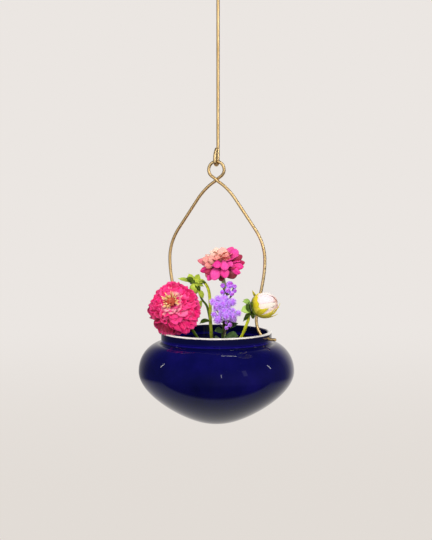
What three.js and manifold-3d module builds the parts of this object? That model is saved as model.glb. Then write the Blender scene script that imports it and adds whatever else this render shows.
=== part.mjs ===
// Hanging planter: a glazed bowl in a bent brass bail, hung from a brass rod and planted with garden flowers.
// Millimetres, +Z up. The origin is where the rod's top hook bears on whatever holds it.
// The bail lies in the XZ plane, and the rod's eye and hook lie in the YZ plane.
import * as THREE from "three";
import { mergeVertices } from "three/addons/utils/BufferGeometryUtils.js";
import Module from "manifold-3d";

const wasm = await Module();
wasm.setup();
const { Vector2, Vector3 } = THREE;

// Fits
const SEAT_GAP = 0.3; // between pieces that rest on each other
const LINK_GAP = 0.3; // between the rod's eye and the bail's loop
const EYE_PLAY = 0.8; // room on each side of the bail's wire in the rod's eye
const CLOSE_GAP = 0.5; // where a bent wire comes back beside itself
const HOLE_CLEARANCE = 0.3; // round the bail's wire in the neck holes

// Hanger rod
const ROD_D = 3.2;
const HANGER_DROP = 190; // from the hook's bearing to the eye's bearing
const EYE_LEG = 2.5; // straight start of the eye's return leg
const EYE_RISE = 11.5; // from the eye's centre to the tip of its return leg
const HOOK_R = 7.6; // centre line
const HOOK_LEAD = 26; // height in which the shank swings out to the hook
const HOOK_TIP = 6; // straight end of the hook

// Bail
const WIRE_D = 3;
const BAIL_DROP = 167.8; // from the loop's bearing to the axis of the neck holes
const LOOP_R = 7.7; // centre line
const LOOP_SLOPE = 35; // degrees of the two strands where they cross below the loop
const BAIL_HALF_WIDTH = 50.7; // widest point of an arm, centre line
const BAIL_WIDE_Z = 73.9; // height of that point over the hole axis
const ARM_TOP_X = 19.4; // upper end of an arm's straight stretch
const ARM_TOP_DROP = 18.4; // below the crossing
const ARM_LOW_IN = 9.9; // lower end of that stretch, in from the widest point
const ARM_LOW_RISE = 30; // above the widest point
const CROSS_BEND = 3.5; // handles of the arm's curves, from its top down
const ARM_TOP_BEND = 13;
const ARM_LOW_BEND = 11;
const ARM_BOW = 22;
const WAIST_BOW = 15;
const WAIST_TURN = 7;
const PIN_LEAD = 4;
const WAIST_HALF_WIDTH = 42.1; // where the arms are drawn in above the neck
const WAIST_Z = 16.7;
const PIN_SLANT = 16; // degrees that the wire's ends fall on their way out through the neck
const PIN_OUT = 7.2; // length of the wire's ends outside the neck

// Bowl
const NECK_R = 54.3;
const NECK_H = 11.3;
const WALL = 4.5;
const LIP_R = 1.3; // rounding of the rim's two edges
const FILLET_R = 2.2; // between the shoulder and the neck
const GROOVE_H = 1.4; // turned groove above it
const GROOVE_DEPTH = 0.9;
const BELLY_R = 76.4;
const BELLY_DROP = 39; // below the rim
const BOWL_H = 89.8;
const FOOT_R = 11.6;
const SHOULDER_RUN = 7.2; // how far the shoulder runs out level before it turns down
const SHOULDER_TURN = 19.3; // height of the shoulder's turn above the belly
const BELLY_TURN = 22.9; // depth of the belly's turn below it
const FOOT_RUN = 17.3; // how far the underside runs out before it turns up
const FOOT_RISE = 1.4; // rise of the underside over that run
const HOLE_DROP = 3.8; // hole axis below the rim

// Potting mix and planting
const MIX_DROP = 24; // its surface below the rim
const MIX_MOUND = 3; // rise of that surface at the middle
const MIX_GAP = 0.4; // to the bowl's wall and round each stem
const STEM_SET = 14; // depth of the stems in the mix
const PLANTING_TURN = 24; // degrees: the flowers were arranged for a viewer standing this far round
const PLANTING_DROP = 1.9; // the planting frame's origin below the rim
const ZINNIA_CORE_R = 7; // receptacles of the two open blooms
const ZINNIA_CORE_H = 11;
const ZINNIA_PETAL = 24; // length of a bloom's lowest petals
const TOP_CORE_R = 7.5;
const TOP_CORE_H = 17;
const TOP_PETAL = 19;
const BLOOM_TIERS = 6;
const TIER_PETALS = 6;
const TIER_TURN = 0.56; // of a petal's spacing, from one tier of a bloom to the next
const BUD_BRACT = 12; // length of the leaves behind the two buds
const DAHLIA_BRACT = 10;
const FLOSS_LEAF = 13;
const TUFT_R = 4; // small heads of the floss flower
const FLOSS_BUD_R = 2.4;
const BUD_LOBE = 0.045; // how far a bud's petals stand out, as a part of its radius
const BUD_TWIST = 5; // radians that they wind from base to tip
const STEM_SIDES = 7;
const STEM_RINGS = 2; // rings of a stem for each stretch between its points
const WIRE_SIDES = 8;
const BOWL_SIDES = 40;

// Derived sizes
const rodR = ROD_D / 2;
const wireR = WIRE_D / 2;
const eyeR = rodR + wireR + EYE_PLAY;
const bailZ = -(HANGER_DROP - LINK_GAP + BAIL_DROP);
const crossOffset = (WIRE_D + CLOSE_GAP) / 2;
const slant = THREE.MathUtils.degToRad(PIN_SLANT);
const holeR = wireR / Math.cos(slant) + (WALL / 2) * Math.tan(slant) + HOLE_CLEARANCE;

// Materials
function finish(color, roughness, metalness = 0) {
  return new THREE.MeshStandardMaterial({ color, roughness, metalness });
}

const brass = finish(0xa8853f, 0.35, 1);
const glaze = finish(0x0c0840, 0.08);
const soil = finish(0x2b1d14, 0.95);
const darkStem = finish(0x4f6b1e, 0.6);
const limeStem = finish(0xa9bd1f, 0.55);
const hotPink = finish(0xe8246f, 0.6);
const salmon = finish(0xe56f74, 0.6);
const orange = finish(0xd9623a, 0.7);
const lilac = finish(0xa46be0, 0.8);
const cream = finish(0xf3e6dc, 0.6);
const yellowGreen = finish(0xb9b528, 0.5);

// Solids: joining and cutting
function solid(geometry) {
  const bare = geometry.clone();
  bare.deleteAttribute("normal");
  bare.deleteAttribute("uv");
  const merged = mergeVertices(bare, 1e-4);
  return new wasm.Manifold(
    new wasm.Mesh({
      numProp: 3,
      vertProperties: new Float32Array(merged.attributes.position.array),
      triVerts: new Uint32Array(merged.index.array),
    }),
  );
}

function geometryOf(manifold) {
  const { vertProperties, triVerts } = manifold.getMesh();
  const geometry = new THREE.BufferGeometry();
  geometry.setAttribute("position", new THREE.BufferAttribute(vertProperties, 3));
  geometry.setIndex(new THREE.BufferAttribute(triVerts, 1));
  return geometry;
}

function joined(geometries) {
  return geometryOf(geometries.map(solid).reduce((whole, piece) => whole.add(piece)));
}

function cut(geometry, tools) {
  return geometryOf(tools.map(solid).reduce((rest, tool) => rest.subtract(tool), solid(geometry)));
}

// A bent wire or stem: the rings of its tube fall on the route's own points, close together in the bends
class Route extends THREE.CatmullRomCurve3 {
  getUtoTmapping(u) {
    return u;
  }
}

// Forms
function tube(route, diameter, steps, sides) {
  const corner = (k) => (2 * Math.PI * k) / sides;
  const section = Array.from(
    { length: sides },
    (_, k) => new Vector2(Math.cos(corner(k)), Math.sin(corner(k))).multiplyScalar(diameter / 2),
  );
  const options = { steps, extrudePath: route, bevelEnabled: false };
  return new THREE.ExtrudeGeometry(new THREE.Shape(section), options);
}

function revolve(profile, segments) {
  return new THREE.LatheGeometry(profile, segments).rotateX(Math.PI / 2);
}

function bezier(points, steps) {
  const [a, b, c, d] = points.map(([x, y]) => new Vector2(x, y));
  return new THREE.CubicBezierCurve(a, b, c, d).getPoints(steps);
}

function arc(centreX, centreY, radius, fromDegrees, toDegrees, steps) {
  return Array.from({ length: steps + 1 }, (_, k) => {
    const turn = THREE.MathUtils.degToRad(fromDegrees + ((toDegrees - fromDegrees) * k) / steps);
    return new Vector2(centreX + radius * Math.cos(turn), centreY + radius * Math.sin(turn));
  });
}

// A closed leaf of material: pointAt(u, v, drop) is a point that lies drop below its upper face
function sheet(pointAt, thick, along, across) {
  const positions = [];
  const row = across + 1;
  const low = (along + 1) * row;
  for (const drop of [0, thick]) {
    for (let i = 0; i <= along; i += 1) {
      for (let j = 0; j <= across; j += 1) {
        positions.push(...pointAt(i / along, j / across, drop).toArray());
      }
    }
  }
  const faces = [];
  const quad = (a, b, c, d) => faces.push(a, b, c, a, c, d);
  for (let i = 0; i < along; i += 1) {
    const edge = i * row;
    const far = edge + across;
    quad(edge, low + edge, low + edge + row, edge + row);
    quad(far, far + row, low + far + row, low + far);
    for (let j = 0; j < across; j += 1) {
      const a = edge + j;
      const b = a + row;
      quad(a, b, b + 1, a + 1);
      quad(low + a, low + a + 1, low + b + 1, low + b);
    }
  }
  for (let j = 0; j < across; j += 1) {
    const end = along * row + j;
    quad(j, j + 1, low + j + 1, low + j);
    quad(end, low + end, low + end + 1, end + 1);
  }
  const geometry = new THREE.BufferGeometry();
  geometry.setAttribute("position", new THREE.Float32BufferAttribute(positions, 3));
  geometry.setIndex(faces);
  return geometry;
}

// A petal or leaf along +X: it leaves its base at the angle rise and bends by bend degrees on its way
function petal({ length, width, rise, bend, base = 0.22, tip = 0.35, cup = 0.12, thick = 0.9 }) {
  const start = THREE.MathUtils.degToRad(rise);
  const turn = THREE.MathUtils.degToRad(bend);
  const half = (u) => {
    const swell = Math.sin(Math.PI * Math.pow(u, 1.1) * 0.85 + 0.06);
    return (width / 2) * THREE.MathUtils.lerp(u < 0.5 ? base : tip, 1, swell);
  };
  const pointAt = (u, v, drop) => {
    const angle = start + turn * u;
    const side = (2 * v - 1) * half(u);
    const lift = cup * Math.pow(2 * v - 1, 2) * half(u) - drop;
    const x = (length * (Math.sin(angle) - Math.sin(start))) / turn - lift * Math.sin(angle);
    const z = (length * (Math.cos(start) - Math.cos(angle))) / turn + lift * Math.cos(angle);
    return new Vector3(x, side, z);
  };
  return sheet(pointAt, thick, 3, 2);
}

// A ring of petals round +Z
function whorl({ count, radius, height, phase = 0, ...shape }) {
  return Array.from({ length: count }, (_, k) =>
    petal(shape)
      .translate(radius, 0, height)
      .rotateZ((2 * Math.PI * (k + phase)) / count),
  );
}

function ball(radius, x, y, z) {
  return new THREE.SphereGeometry(radius, 6, 4).translate(x, y, z);
}

function spot([x, y, z]) {
  return new Vector3(x, y, z);
}

// A stem along its points, from STEM_SET below the surface of the mix
function stemRoute([[footX, footY], ...points]) {
  const foot = new Vector3(footX, footY, PLANTING_DROP - MIX_DROP - STEM_SET);
  return new Route([foot, ...points.map(spot)]);
}

function stemSolid(route, diameter) {
  return tube(route, diameter, STEM_RINGS * (route.points.length - 1), STEM_SIDES);
}

// Turns geometry made round +Z so that it sits at a place and faces a way
function aimed(geometry, place, facing) {
  const turn = new THREE.Quaternion().setFromUnitVectors(new Vector3(0, 0, 1), spot(facing).normalize());
  return geometry.applyQuaternion(turn).translate(...place);
}

// Hanger rod: hook, shank and eye as one bent rod
function hangerRod() {
  const eyeZ = -(HANGER_DROP + rodR) + eyeR;
  const hookZ = rodR - HOOK_R;
  const leadZ = hookZ - HOOK_LEAD;
  const line = (y, z) => new Vector2(y, z);
  const hook = [line(-HOOK_R, hookZ - HOOK_TIP), ...arc(0, hookZ, HOOK_R, 180, 0, 12)];
  const lead = bezier(
    [
      [HOOK_R, hookZ],
      [HOOK_R, hookZ - HOOK_LEAD / 2],
      [eyeR, leadZ + HOOK_LEAD / 2],
      [eyeR, leadZ],
    ],
    6,
  );
  const shank = [0.05, 0.5, 0.95].map((share) => line(eyeR, THREE.MathUtils.lerp(leadZ, eyeZ, share)));
  const eye = arc(0, eyeZ, eyeR, 0, -180, 10);
  const tipY = eyeR - ROD_D - CLOSE_GAP;
  const leg = bezier(
    [
      [-eyeR, eyeZ + EYE_LEG],
      [-eyeR, eyeZ + EYE_RISE / 2],
      [tipY - eyeR / 2, eyeZ + EYE_RISE - eyeR / 2],
      [tipY, eyeZ + EYE_RISE],
    ],
    5,
  );
  const route = [...hook, ...lead.slice(1), ...shank, ...eye, ...leg].map(({ x, y }) => new Vector3(0, x, y));
  return tube(new Route(route), ROD_D, route.length - 1, WIRE_SIDES);
}

// Bail: two bowed arms, a loop that crosses under itself, and ends bent out through the neck
function bailWire() {
  const loopZ = BAIL_DROP + wireR - LOOP_R;
  const leave = 90 - LOOP_SLOPE;
  const slope = THREE.MathUtils.degToRad(LOOP_SLOPE);
  const crossZ = loopZ - LOOP_R / Math.cos(slope);
  const [topX, topZ] = [ARM_TOP_X, crossZ - ARM_TOP_DROP];
  const [lowX, lowZ] = [BAIL_HALF_WIDTH - ARM_LOW_IN, BAIL_WIDE_Z + ARM_LOW_RISE];
  const run = new Vector2(lowX - topX, lowZ - topZ).normalize();
  const innerX = NECK_R - WALL;
  const midX = NECK_R - WALL / 2;
  const pinZ = (x) => (midX - x) * Math.tan(slant);
  const tipX = NECK_R + PIN_OUT;
  const kinkX = NECK_R + PIN_OUT / 3;
  const arm = [
    ...bezier(
      [
        [0, crossZ],
        [CROSS_BEND * Math.cos(slope), crossZ - CROSS_BEND * Math.sin(slope)],
        [topX - ARM_TOP_BEND * run.x, topZ - ARM_TOP_BEND * run.y],
        [topX, topZ],
      ],
      5,
    ),
    new Vector2((topX + lowX) / 2, (topZ + lowZ) / 2),
    ...bezier(
      [
        [lowX, lowZ],
        [lowX + ARM_LOW_BEND * run.x, lowZ + ARM_LOW_BEND * run.y],
        [BAIL_HALF_WIDTH, BAIL_WIDE_Z + ARM_LOW_BEND],
        [BAIL_HALF_WIDTH, BAIL_WIDE_Z],
      ],
      5,
    ),
    ...bezier(
      [
        [BAIL_HALF_WIDTH, BAIL_WIDE_Z],
        [BAIL_HALF_WIDTH, BAIL_WIDE_Z - ARM_BOW],
        [WAIST_HALF_WIDTH, WAIST_Z + WAIST_BOW],
        [WAIST_HALF_WIDTH, WAIST_Z],
      ],
      7,
    ).slice(1),
    ...bezier(
      [
        [WAIST_HALF_WIDTH, WAIST_Z],
        [WAIST_HALF_WIDTH, WAIST_Z - WAIST_TURN],
        [innerX - PIN_LEAD, pinZ(innerX - PIN_LEAD)],
        [innerX, pinZ(innerX)],
      ],
      7,
    ).slice(1),
    new Vector2(NECK_R, pinZ(NECK_R)),
    new Vector2(kinkX, pinZ(kinkX)),
    new Vector2(tipX, pinZ(kinkX)),
  ];
  const loopTurn = (k) => -leave + ((180 + 2 * leave) * k) / 20;
  const loop = Array.from({ length: 21 }, (_, k) => {
    const turn = THREE.MathUtils.degToRad(loopTurn(k));
    const across = crossOffset * (1 - k / 10);
    return new Vector3(LOOP_R * Math.cos(turn), across, loopZ + LOOP_R * Math.sin(turn));
  });
  const side = (sign) =>
    arm.map(({ x, y }) => new Vector3(sign * x, -sign * crossOffset * Math.max(0, 1 - x / topX), y));
  const route = [...side(-1).reverse(), ...loop, ...side(1)];
  return tube(new Route(route), WIRE_D, route.length - 1, WIRE_SIDES);
}

// Bowl: z is measured from the rim. The lower part's inner face, wall off the outer one, from the top down
function innerWall(wall) {
  const top = -NECK_H - wall;
  return [
    ...bezier(
      [
        [NECK_R - wall, top],
        [NECK_R - wall + SHOULDER_RUN, top],
        [BELLY_R - wall, -BELLY_DROP + SHOULDER_TURN - wall / 2],
        [BELLY_R - wall, -BELLY_DROP],
      ],
      5,
    ),
    ...bezier(
      [
        [BELLY_R - wall, -BELLY_DROP],
        [BELLY_R - wall, -BELLY_DROP - BELLY_TURN + wall / 2],
        [FOOT_R + FOOT_RUN - wall, -BOWL_H + FOOT_RISE + wall],
        [FOOT_R, -BOWL_H + wall],
      ],
      5,
    ).slice(1),
    new Vector2(0, -BOWL_H + wall),
  ];
}

function bowlShell() {
  const profile = [
    new Vector2(0, -BOWL_H),
    ...bezier(
      [
        [FOOT_R, -BOWL_H],
        [FOOT_R + FOOT_RUN, -BOWL_H + FOOT_RISE],
        [BELLY_R, -BELLY_DROP - BELLY_TURN],
        [BELLY_R, -BELLY_DROP],
      ],
      9,
    ),
    ...bezier(
      [
        [BELLY_R, -BELLY_DROP],
        [BELLY_R, -BELLY_DROP + SHOULDER_TURN],
        [NECK_R + SHOULDER_RUN, -NECK_H],
        [NECK_R + FILLET_R, -NECK_H],
      ],
      7,
    ).slice(1, -1),
    ...arc(NECK_R + FILLET_R, -NECK_H + FILLET_R, FILLET_R, 270, 180, 3),
    new Vector2(NECK_R - GROOVE_DEPTH, -NECK_H + FILLET_R + GROOVE_H / 2),
    new Vector2(NECK_R, -NECK_H + FILLET_R + GROOVE_H),
    ...arc(NECK_R - LIP_R, -LIP_R, LIP_R, 0, 90, 3),
    ...arc(NECK_R - WALL + LIP_R, -LIP_R, LIP_R, 90, 180, 3),
    ...innerWall(WALL),
  ];
  const hole = (side) =>
    new THREE.CylinderGeometry(holeR, holeR, WALL * 3, 16)
      .rotateZ(Math.PI / 2)
      .translate(side * (NECK_R - WALL / 2), 0, -HOLE_DROP);
  return cut(revolve(profile, BOWL_SIDES), [hole(-1), hole(1)]);
}

// Potting mix: fills the bowl up to its surface and is bored for the stems
function pottingMix(stems) {
  const inside = innerWall(WALL + MIX_GAP);
  const first = inside.findIndex(({ y }) => y < -MIX_DROP);
  const [above, below] = [inside[first - 1], inside[first]];
  const edge = above.clone().lerp(below, (above.y + MIX_DROP) / (above.y - below.y));
  const slope = new Vector2(edge.x / 2, -MIX_DROP + MIX_MOUND * 0.7);
  const top = new Vector2(0, -MIX_DROP + MIX_MOUND);
  const profile = [...inside.slice(first).reverse(), edge, slope, top];
  return cut(
    revolve(profile, 28),
    stems.map(({ route, diameter }) => stemSolid(route, diameter + 2 * MIX_GAP)),
  );
}

// Flowers: places are in the planting frame, x to the viewer's right, y away from the viewer, z up
const ZINNIA = {
  diameter: 3.4,
  head: [-42.5, -15.5, 28],
  facing: [-0.16, -0.86, 0.48],
  points: [[-13, -4], [-16.5, -6.5, -8], [-20, -9, -1], [-25.5, -12.5, 7.5], [-32.5, -12, 16.5]],
};
const TOP_BLOOM = {
  diameter: 3.8,
  head: [6.2, 4.5, 55],
  facing: [-0.06, -0.14, 0.98],
  points: [[5, 6], [7.5, 4, 0], [9, 2, 22], [8.6, 2.4, 40]],
};
const NODDING_BUD = {
  diameter: 2.9,
  head: [-22.2, 12, 48.5],
  facing: [0.22, -0.25, -0.94],
  points: [[-4, 0], [-4.8, 0, -4], [-6, 1, 13], [-6.2, 3, 28], [-7.8, 7, 42], [-12, 10, 49], [-17, 11.6, 51.2]],
};
const DAHLIA = {
  diameter: 2.9,
  head: [32, -47, 29],
  facing: [0.93, -0.2, 0.24],
  points: [[18, -9], [21, -14, -8], [25, -22, 1], [28.6, -35, 13], [30.4, -44, 20.5]],
};
const FLOSS = {
  diameter: 2.6,
  points: [[5, -7], [6, -8, -4], [8, -8.5, 14], [9.4, -8, 30], [10.6, -8, 39]],
};

// Clusters of small heads: reach is in head radii
const FLOSS_HEADS = {
  floss_top_buds: [{ hub: [11.8, -8, 44.8], reach: 1.75, wide: 1.1, count: 8, tuft: FLOSS_BUD_R }],
  floss_tufts: [
    { hub: [5.5, -13, 31], reach: 1.35, wide: 1.4, count: 9, tuft: TUFT_R },
    { hub: [9.5, -14, 19.4], reach: 1.2, wide: 1.9, count: 9, tuft: TUFT_R },
  ],
  floss_low_buds: [{ hub: [11.6, -13.8, 7.3], reach: 0.8, wide: 1.2, count: 5, tuft: FLOSS_BUD_R }],
};

function calyx(radius, height) {
  const profile = [
    new Vector2(0, -height),
    new Vector2(radius * 0.45, -height),
    new Vector2(radius * 0.9, -height * 0.55),
    new Vector2(radius, -SEAT_GAP),
    new Vector2(0, -SEAT_GAP),
  ];
  return revolve(profile, 10);
}

// A stem that ends in the calyx under a flower head
function headedStem({ diameter, head, facing, points }, radius, height, extras = []) {
  const under = spot(head).addScaledVector(spot(facing).normalize(), -height * 0.6);
  const route = stemRoute([...points, under.toArray()]);
  const cup = aimed(calyx(radius, height), head, facing);
  return { route, diameter, geometry: joined([stemSolid(route, diameter), cup, ...extras]) };
}

// The receptacle that a head's petals grow from, with a flat top
function core(radius, height) {
  const profile = [[0, 0], [radius * 0.6, 0], [radius, height / 2], [radius * 0.8, height], [0, height]];
  return revolve(profile.map(([x, y]) => new Vector2(x, y)), 10);
}

// A bloom's petals in tiers that close up towards the middle, each tier turned against the one below.
// In low and high, radius and height are shares of the core's, length and width of the lowest petals' length
function tiers({ coreR, coreH, length, low, high }) {
  const rings = Array.from({ length: BLOOM_TIERS }, (_, k) => {
    const part = (key) => THREE.MathUtils.lerp(low[key], high[key], k / (BLOOM_TIERS - 1));
    return whorl({
      count: TIER_PETALS,
      phase: k * TIER_TURN,
      radius: coreR * part("radius"),
      height: coreH * part("height"),
      length: length * part("length"),
      width: length * part("width"),
      rise: part("rise"),
      bend: part("bend"),
    });
  });
  return joined([core(coreR, coreH), ...rings.flat()]);
}

function zinniaPetals() {
  return tiers({
    coreR: ZINNIA_CORE_R,
    coreH: ZINNIA_CORE_H,
    length: ZINNIA_PETAL,
    low: { radius: 0.43, height: 0.16, length: 1, width: 0.54, rise: -3, bend: -24 },
    high: { radius: 0.66, height: 0.85, length: 0.5, width: 0.34, rise: 52, bend: -44 },
  });
}

function zinniaDisk() {
  const seat = ZINNIA_CORE_H + SEAT_GAP;
  const radius = ZINNIA_CORE_R * 0.62;
  const profile = [[0, 0], [1, 0], [0.9, 0.4], [0.5, 0.85], [0, 1]];
  const florets = whorl({
    count: 7,
    radius: radius * 0.46,
    height: radius * 0.37,
    length: radius * 1.2,
    width: radius / 2,
    rise: 64,
    bend: -20,
  });
  const dome = revolve(profile.map(([x, y]) => new Vector2(x * radius, y * radius)), 9);
  return joined([dome, ...florets]).translate(0, 0, seat);
}

function topPetals() {
  return tiers({
    coreR: TOP_CORE_R,
    coreH: TOP_CORE_H,
    length: TOP_PETAL,
    low: { radius: 0.4, height: 0.24, length: 1, width: 0.68, rise: 6, bend: -58 },
    high: { radius: 0.6, height: 0.82, length: 0.9, width: 0.62, rise: 86, bend: -46 },
  });
}

// The side of a bud, from its base to its tip
function budSide(radius, length) {
  const corners = [[0, 0], [radius * 1.35, 0], [radius * 1.3, length * 0.95], [0, length]];
  return new THREE.CubicBezierCurve(...corners.map(([x, y]) => new Vector2(x, y)));
}

// A closed bud round +Z with shallow lobes where its petals overlap
function bud({ radius, length, lobes }) {
  const geometry = revolve(budSide(radius, length).getPoints(9), lobes * 3);
  const places = geometry.attributes.position;
  for (let k = 0; k < places.count; k += 1) {
    const [x, y, z] = [places.getX(k), places.getY(k), places.getZ(k)];
    const swell = 1 + BUD_LOBE * Math.cos(lobes * Math.atan2(y, x) + (BUD_TWIST * z) / length);
    places.setXY(k, x * swell, y * swell);
  }
  return geometry;
}

function sepalGap(radius) {
  return radius * BUD_LOBE + SEAT_GAP;
}

// Sepals that lie over a bud, joined to a small cup at its base
function sepals({ radius, length }, { count, reach, thick }) {
  const clear = sepalGap(radius);
  const side = budSide(radius, length);
  const leaf = (k) => (u, v, drop) => {
    const t = THREE.MathUtils.lerp(0.06, reach, u);
    const along = side.getTangent(t);
    const place = side.getPoint(t).add(new Vector2(along.y, -along.x).multiplyScalar(clear + drop));
    const half = (Math.PI / count) * (0.94 - 0.7 * u * u);
    const turn = (2 * Math.PI * k) / count + (2 * v - 1) * half;
    return new Vector3(place.x * Math.cos(turn), place.x * Math.sin(turn), place.y);
  };
  const cupTop = -clear - thick / 2;
  const cup = [[0, cupTop - thick], [radius * 0.5, cupTop - thick], [radius * 0.5, cupTop], [0, cupTop]];
  const sheets = Array.from({ length: count }, (_, k) => sheet(leaf(k), thick, 4, 2));
  return joined([revolve(cup.map(([x, y]) => new Vector2(x, y)), 12), ...sheets]);
}

// A rounded cluster of small flower heads set on a golden-angle spiral round its hub
function cluster({ hub, reach: heads, wide, count, tuft }) {
  const golden = Math.PI * (3 - Math.sqrt(5));
  const reach = tuft * heads;
  const tufts = Array.from({ length: count }, (_, k) => {
    const up = 1 - (2 * k + 1) / count;
    const out = Math.sqrt(1 - up * up) * reach;
    return ball(tuft, wide * out * Math.cos(golden * k), out * Math.sin(golden * k), up * reach);
  });
  return joined([ball(reach, 0, 0, 0).scale(wide, 1, 1), ...tufts]).translate(...hub);
}

// Clusters that sit against the floss flower's stem
function flossHeads(clusters) {
  const stem = stemSolid(flossStem.route, flossStem.diameter + 2 * SEAT_GAP);
  return cut(joined(clusters.map(cluster)), [stem]);
}

// A leaf that leaves a stem at a place, towards a compass angle in degrees
function leaf(place, compass, shape) {
  const turn = THREE.MathUtils.degToRad(compass);
  return petal({ base: 0.25, tip: 0.05, thick: 0.7, ...shape }).rotateZ(turn).translate(...place);
}

// Assembly
function node(name, geometry, material) {
  const mesh = new THREE.Mesh(geometry, material);
  mesh.name = name;
  return mesh;
}

function headGroup({ head, facing }, ...meshes) {
  const group = new THREE.Group();
  group.position.set(...head);
  group.quaternion.setFromUnitVectors(new Vector3(0, 0, 1), spot(facing).normalize());
  return group.add(...meshes);
}

function stemWithBracts(plant, cupR, cupH, bracts) {
  const ring = whorl(bracts).map((bract) => aimed(bract, plant.head, plant.facing));
  return headedStem(plant, cupR, cupH, ring);
}

const zinniaStem = headedStem(ZINNIA, 5.4, 7.5);
const topStem = headedStem(TOP_BLOOM, 5, 7);
const sideShoot = new Route(
  [[-5.6, 0.6, 8], [-6.8, 2.4, 17], [-9.8, 6.5, 25], [-12.8, 11.5, 31.5], [-13.6, 15.5, 37]].map(spot),
);
const budStem = stemWithBracts(NODDING_BUD, 3.4, 4, {
  count: 8,
  radius: 1.6,
  height: -1.2,
  length: BUD_BRACT,
  width: BUD_BRACT * 0.38,
  rise: -14,
  bend: -18,
  tip: 0.1,
});
budStem.geometry = joined([
  budStem.geometry,
  stemSolid(sideShoot, 2.6),
  leaf([-5.6, 0.6, 12.4], 176, { length: BUD_BRACT, width: BUD_BRACT * 0.38, rise: 12, bend: -30 }),
]);
const dahliaStem = stemWithBracts(DAHLIA, 4.4, 5, {
  count: 6,
  radius: 1.8,
  height: -2,
  length: DAHLIA_BRACT,
  width: DAHLIA_BRACT / 2,
  rise: -24,
  bend: -26,
  tip: 0.1,
});
const flossRoute = stemRoute(FLOSS.points);
const flossStem = {
  route: flossRoute,
  diameter: FLOSS.diameter,
  geometry: joined([
    stemSolid(flossRoute, FLOSS.diameter),
    leaf([7, -8.3, 3], 200, { length: FLOSS_LEAF, width: FLOSS_LEAF * 0.65, rise: 20, bend: -30 }),
    leaf([7.6, -8.4, 6], 24, { length: FLOSS_LEAF, width: FLOSS_LEAF * 0.65, rise: 25, bend: -40 }),
    leaf([6.6, -8.2, -4], 320, { length: FLOSS_LEAF, width: FLOSS_LEAF * 0.85, rise: 20, bend: -40 }),
  ]),
};
const DAHLIA_BUD = { radius: 11.4, length: 24, lobes: 9 };
const DAHLIA_SEPALS = { count: 8, reach: 0.52, thick: 0.8 };
const GREEN_BUD = { radius: 6, length: 13, lobes: 7 };
const dahliaSeat = sepalGap(DAHLIA_BUD.radius) + 1.5 * DAHLIA_SEPALS.thick;

const planting = new THREE.Group();
planting.rotation.z = THREE.MathUtils.degToRad(PLANTING_TURN);
planting.position.z = -PLANTING_DROP;
planting.add(
  node("zinnia_stem", zinniaStem.geometry, darkStem),
  headGroup(
    ZINNIA,
    node("zinnia_petals", zinniaPetals(), hotPink),
    node("zinnia_disk", zinniaDisk(), orange),
  ),
  node("top_bloom_stem", topStem.geometry, darkStem),
  headGroup(TOP_BLOOM, node("top_bloom_petals", topPetals(), salmon)),
  node("bud_stem", budStem.geometry, limeStem),
  headGroup(NODDING_BUD, node("green_bud", bud(GREEN_BUD), limeStem)),
  node("dahlia_stem", dahliaStem.geometry, limeStem),
  headGroup(
    DAHLIA,
    node("dahlia_sepals", sepals(DAHLIA_BUD, DAHLIA_SEPALS).translate(0, 0, dahliaSeat), yellowGreen),
    node("dahlia_bud", bud(DAHLIA_BUD).translate(0, 0, dahliaSeat), cream),
  ),
  node("floss_stem", flossStem.geometry, darkStem),
  ...Object.entries(FLOSS_HEADS).map(([name, clusters]) => node(name, flossHeads(clusters), lilac)),
);

const stems = [zinniaStem, topStem, budStem, dahliaStem, flossStem].map(({ route, diameter }) => {
  const turned = route.clone();
  turned.points.forEach((point) => point.applyEuler(planting.rotation).add(planting.position));
  return { route: turned, diameter };
});

const bowl = new THREE.Group();
bowl.position.z = bailZ + HOLE_DROP;
bowl.add(
  node("bowl", bowlShell(), glaze),
  node("potting_mix", pottingMix(stems), soil),
  planting,
);

const bail = new THREE.Group();
bail.position.z = bailZ;
bail.add(node("bail_wire", bailWire(), brass));

const planter = new THREE.Group();
planter.add(node("hanger_rod", hangerRod(), brass), bail, bowl);

export default planter;
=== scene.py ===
"""Looks of the hanging planter: brass rod and bail, glazed bowl, potting mix and garden flowers.

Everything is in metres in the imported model's frame: the origin is inside the rod's top hook and +Z is up.
Flowers are placed in the planting frame, in millimetres: x to the viewer's right, y away from the viewer and
z up from just below the rim.
"""
import math
import random

import bpy
from mathutils import Matrix, Vector, noise


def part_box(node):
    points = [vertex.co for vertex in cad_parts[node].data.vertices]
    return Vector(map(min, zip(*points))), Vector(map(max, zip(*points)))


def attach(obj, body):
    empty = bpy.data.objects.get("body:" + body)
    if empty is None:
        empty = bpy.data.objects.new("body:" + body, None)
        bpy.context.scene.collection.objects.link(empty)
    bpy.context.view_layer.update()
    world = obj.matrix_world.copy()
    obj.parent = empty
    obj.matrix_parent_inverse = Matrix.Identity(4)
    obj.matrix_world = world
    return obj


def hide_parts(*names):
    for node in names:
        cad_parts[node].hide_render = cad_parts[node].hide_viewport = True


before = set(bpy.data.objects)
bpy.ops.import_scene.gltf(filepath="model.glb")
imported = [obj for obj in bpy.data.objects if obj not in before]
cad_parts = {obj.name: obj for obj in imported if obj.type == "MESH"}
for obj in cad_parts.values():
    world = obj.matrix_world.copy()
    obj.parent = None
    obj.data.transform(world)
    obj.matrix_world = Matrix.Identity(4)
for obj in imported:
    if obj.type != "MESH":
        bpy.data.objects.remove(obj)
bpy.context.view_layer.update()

MM = 0.001

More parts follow.
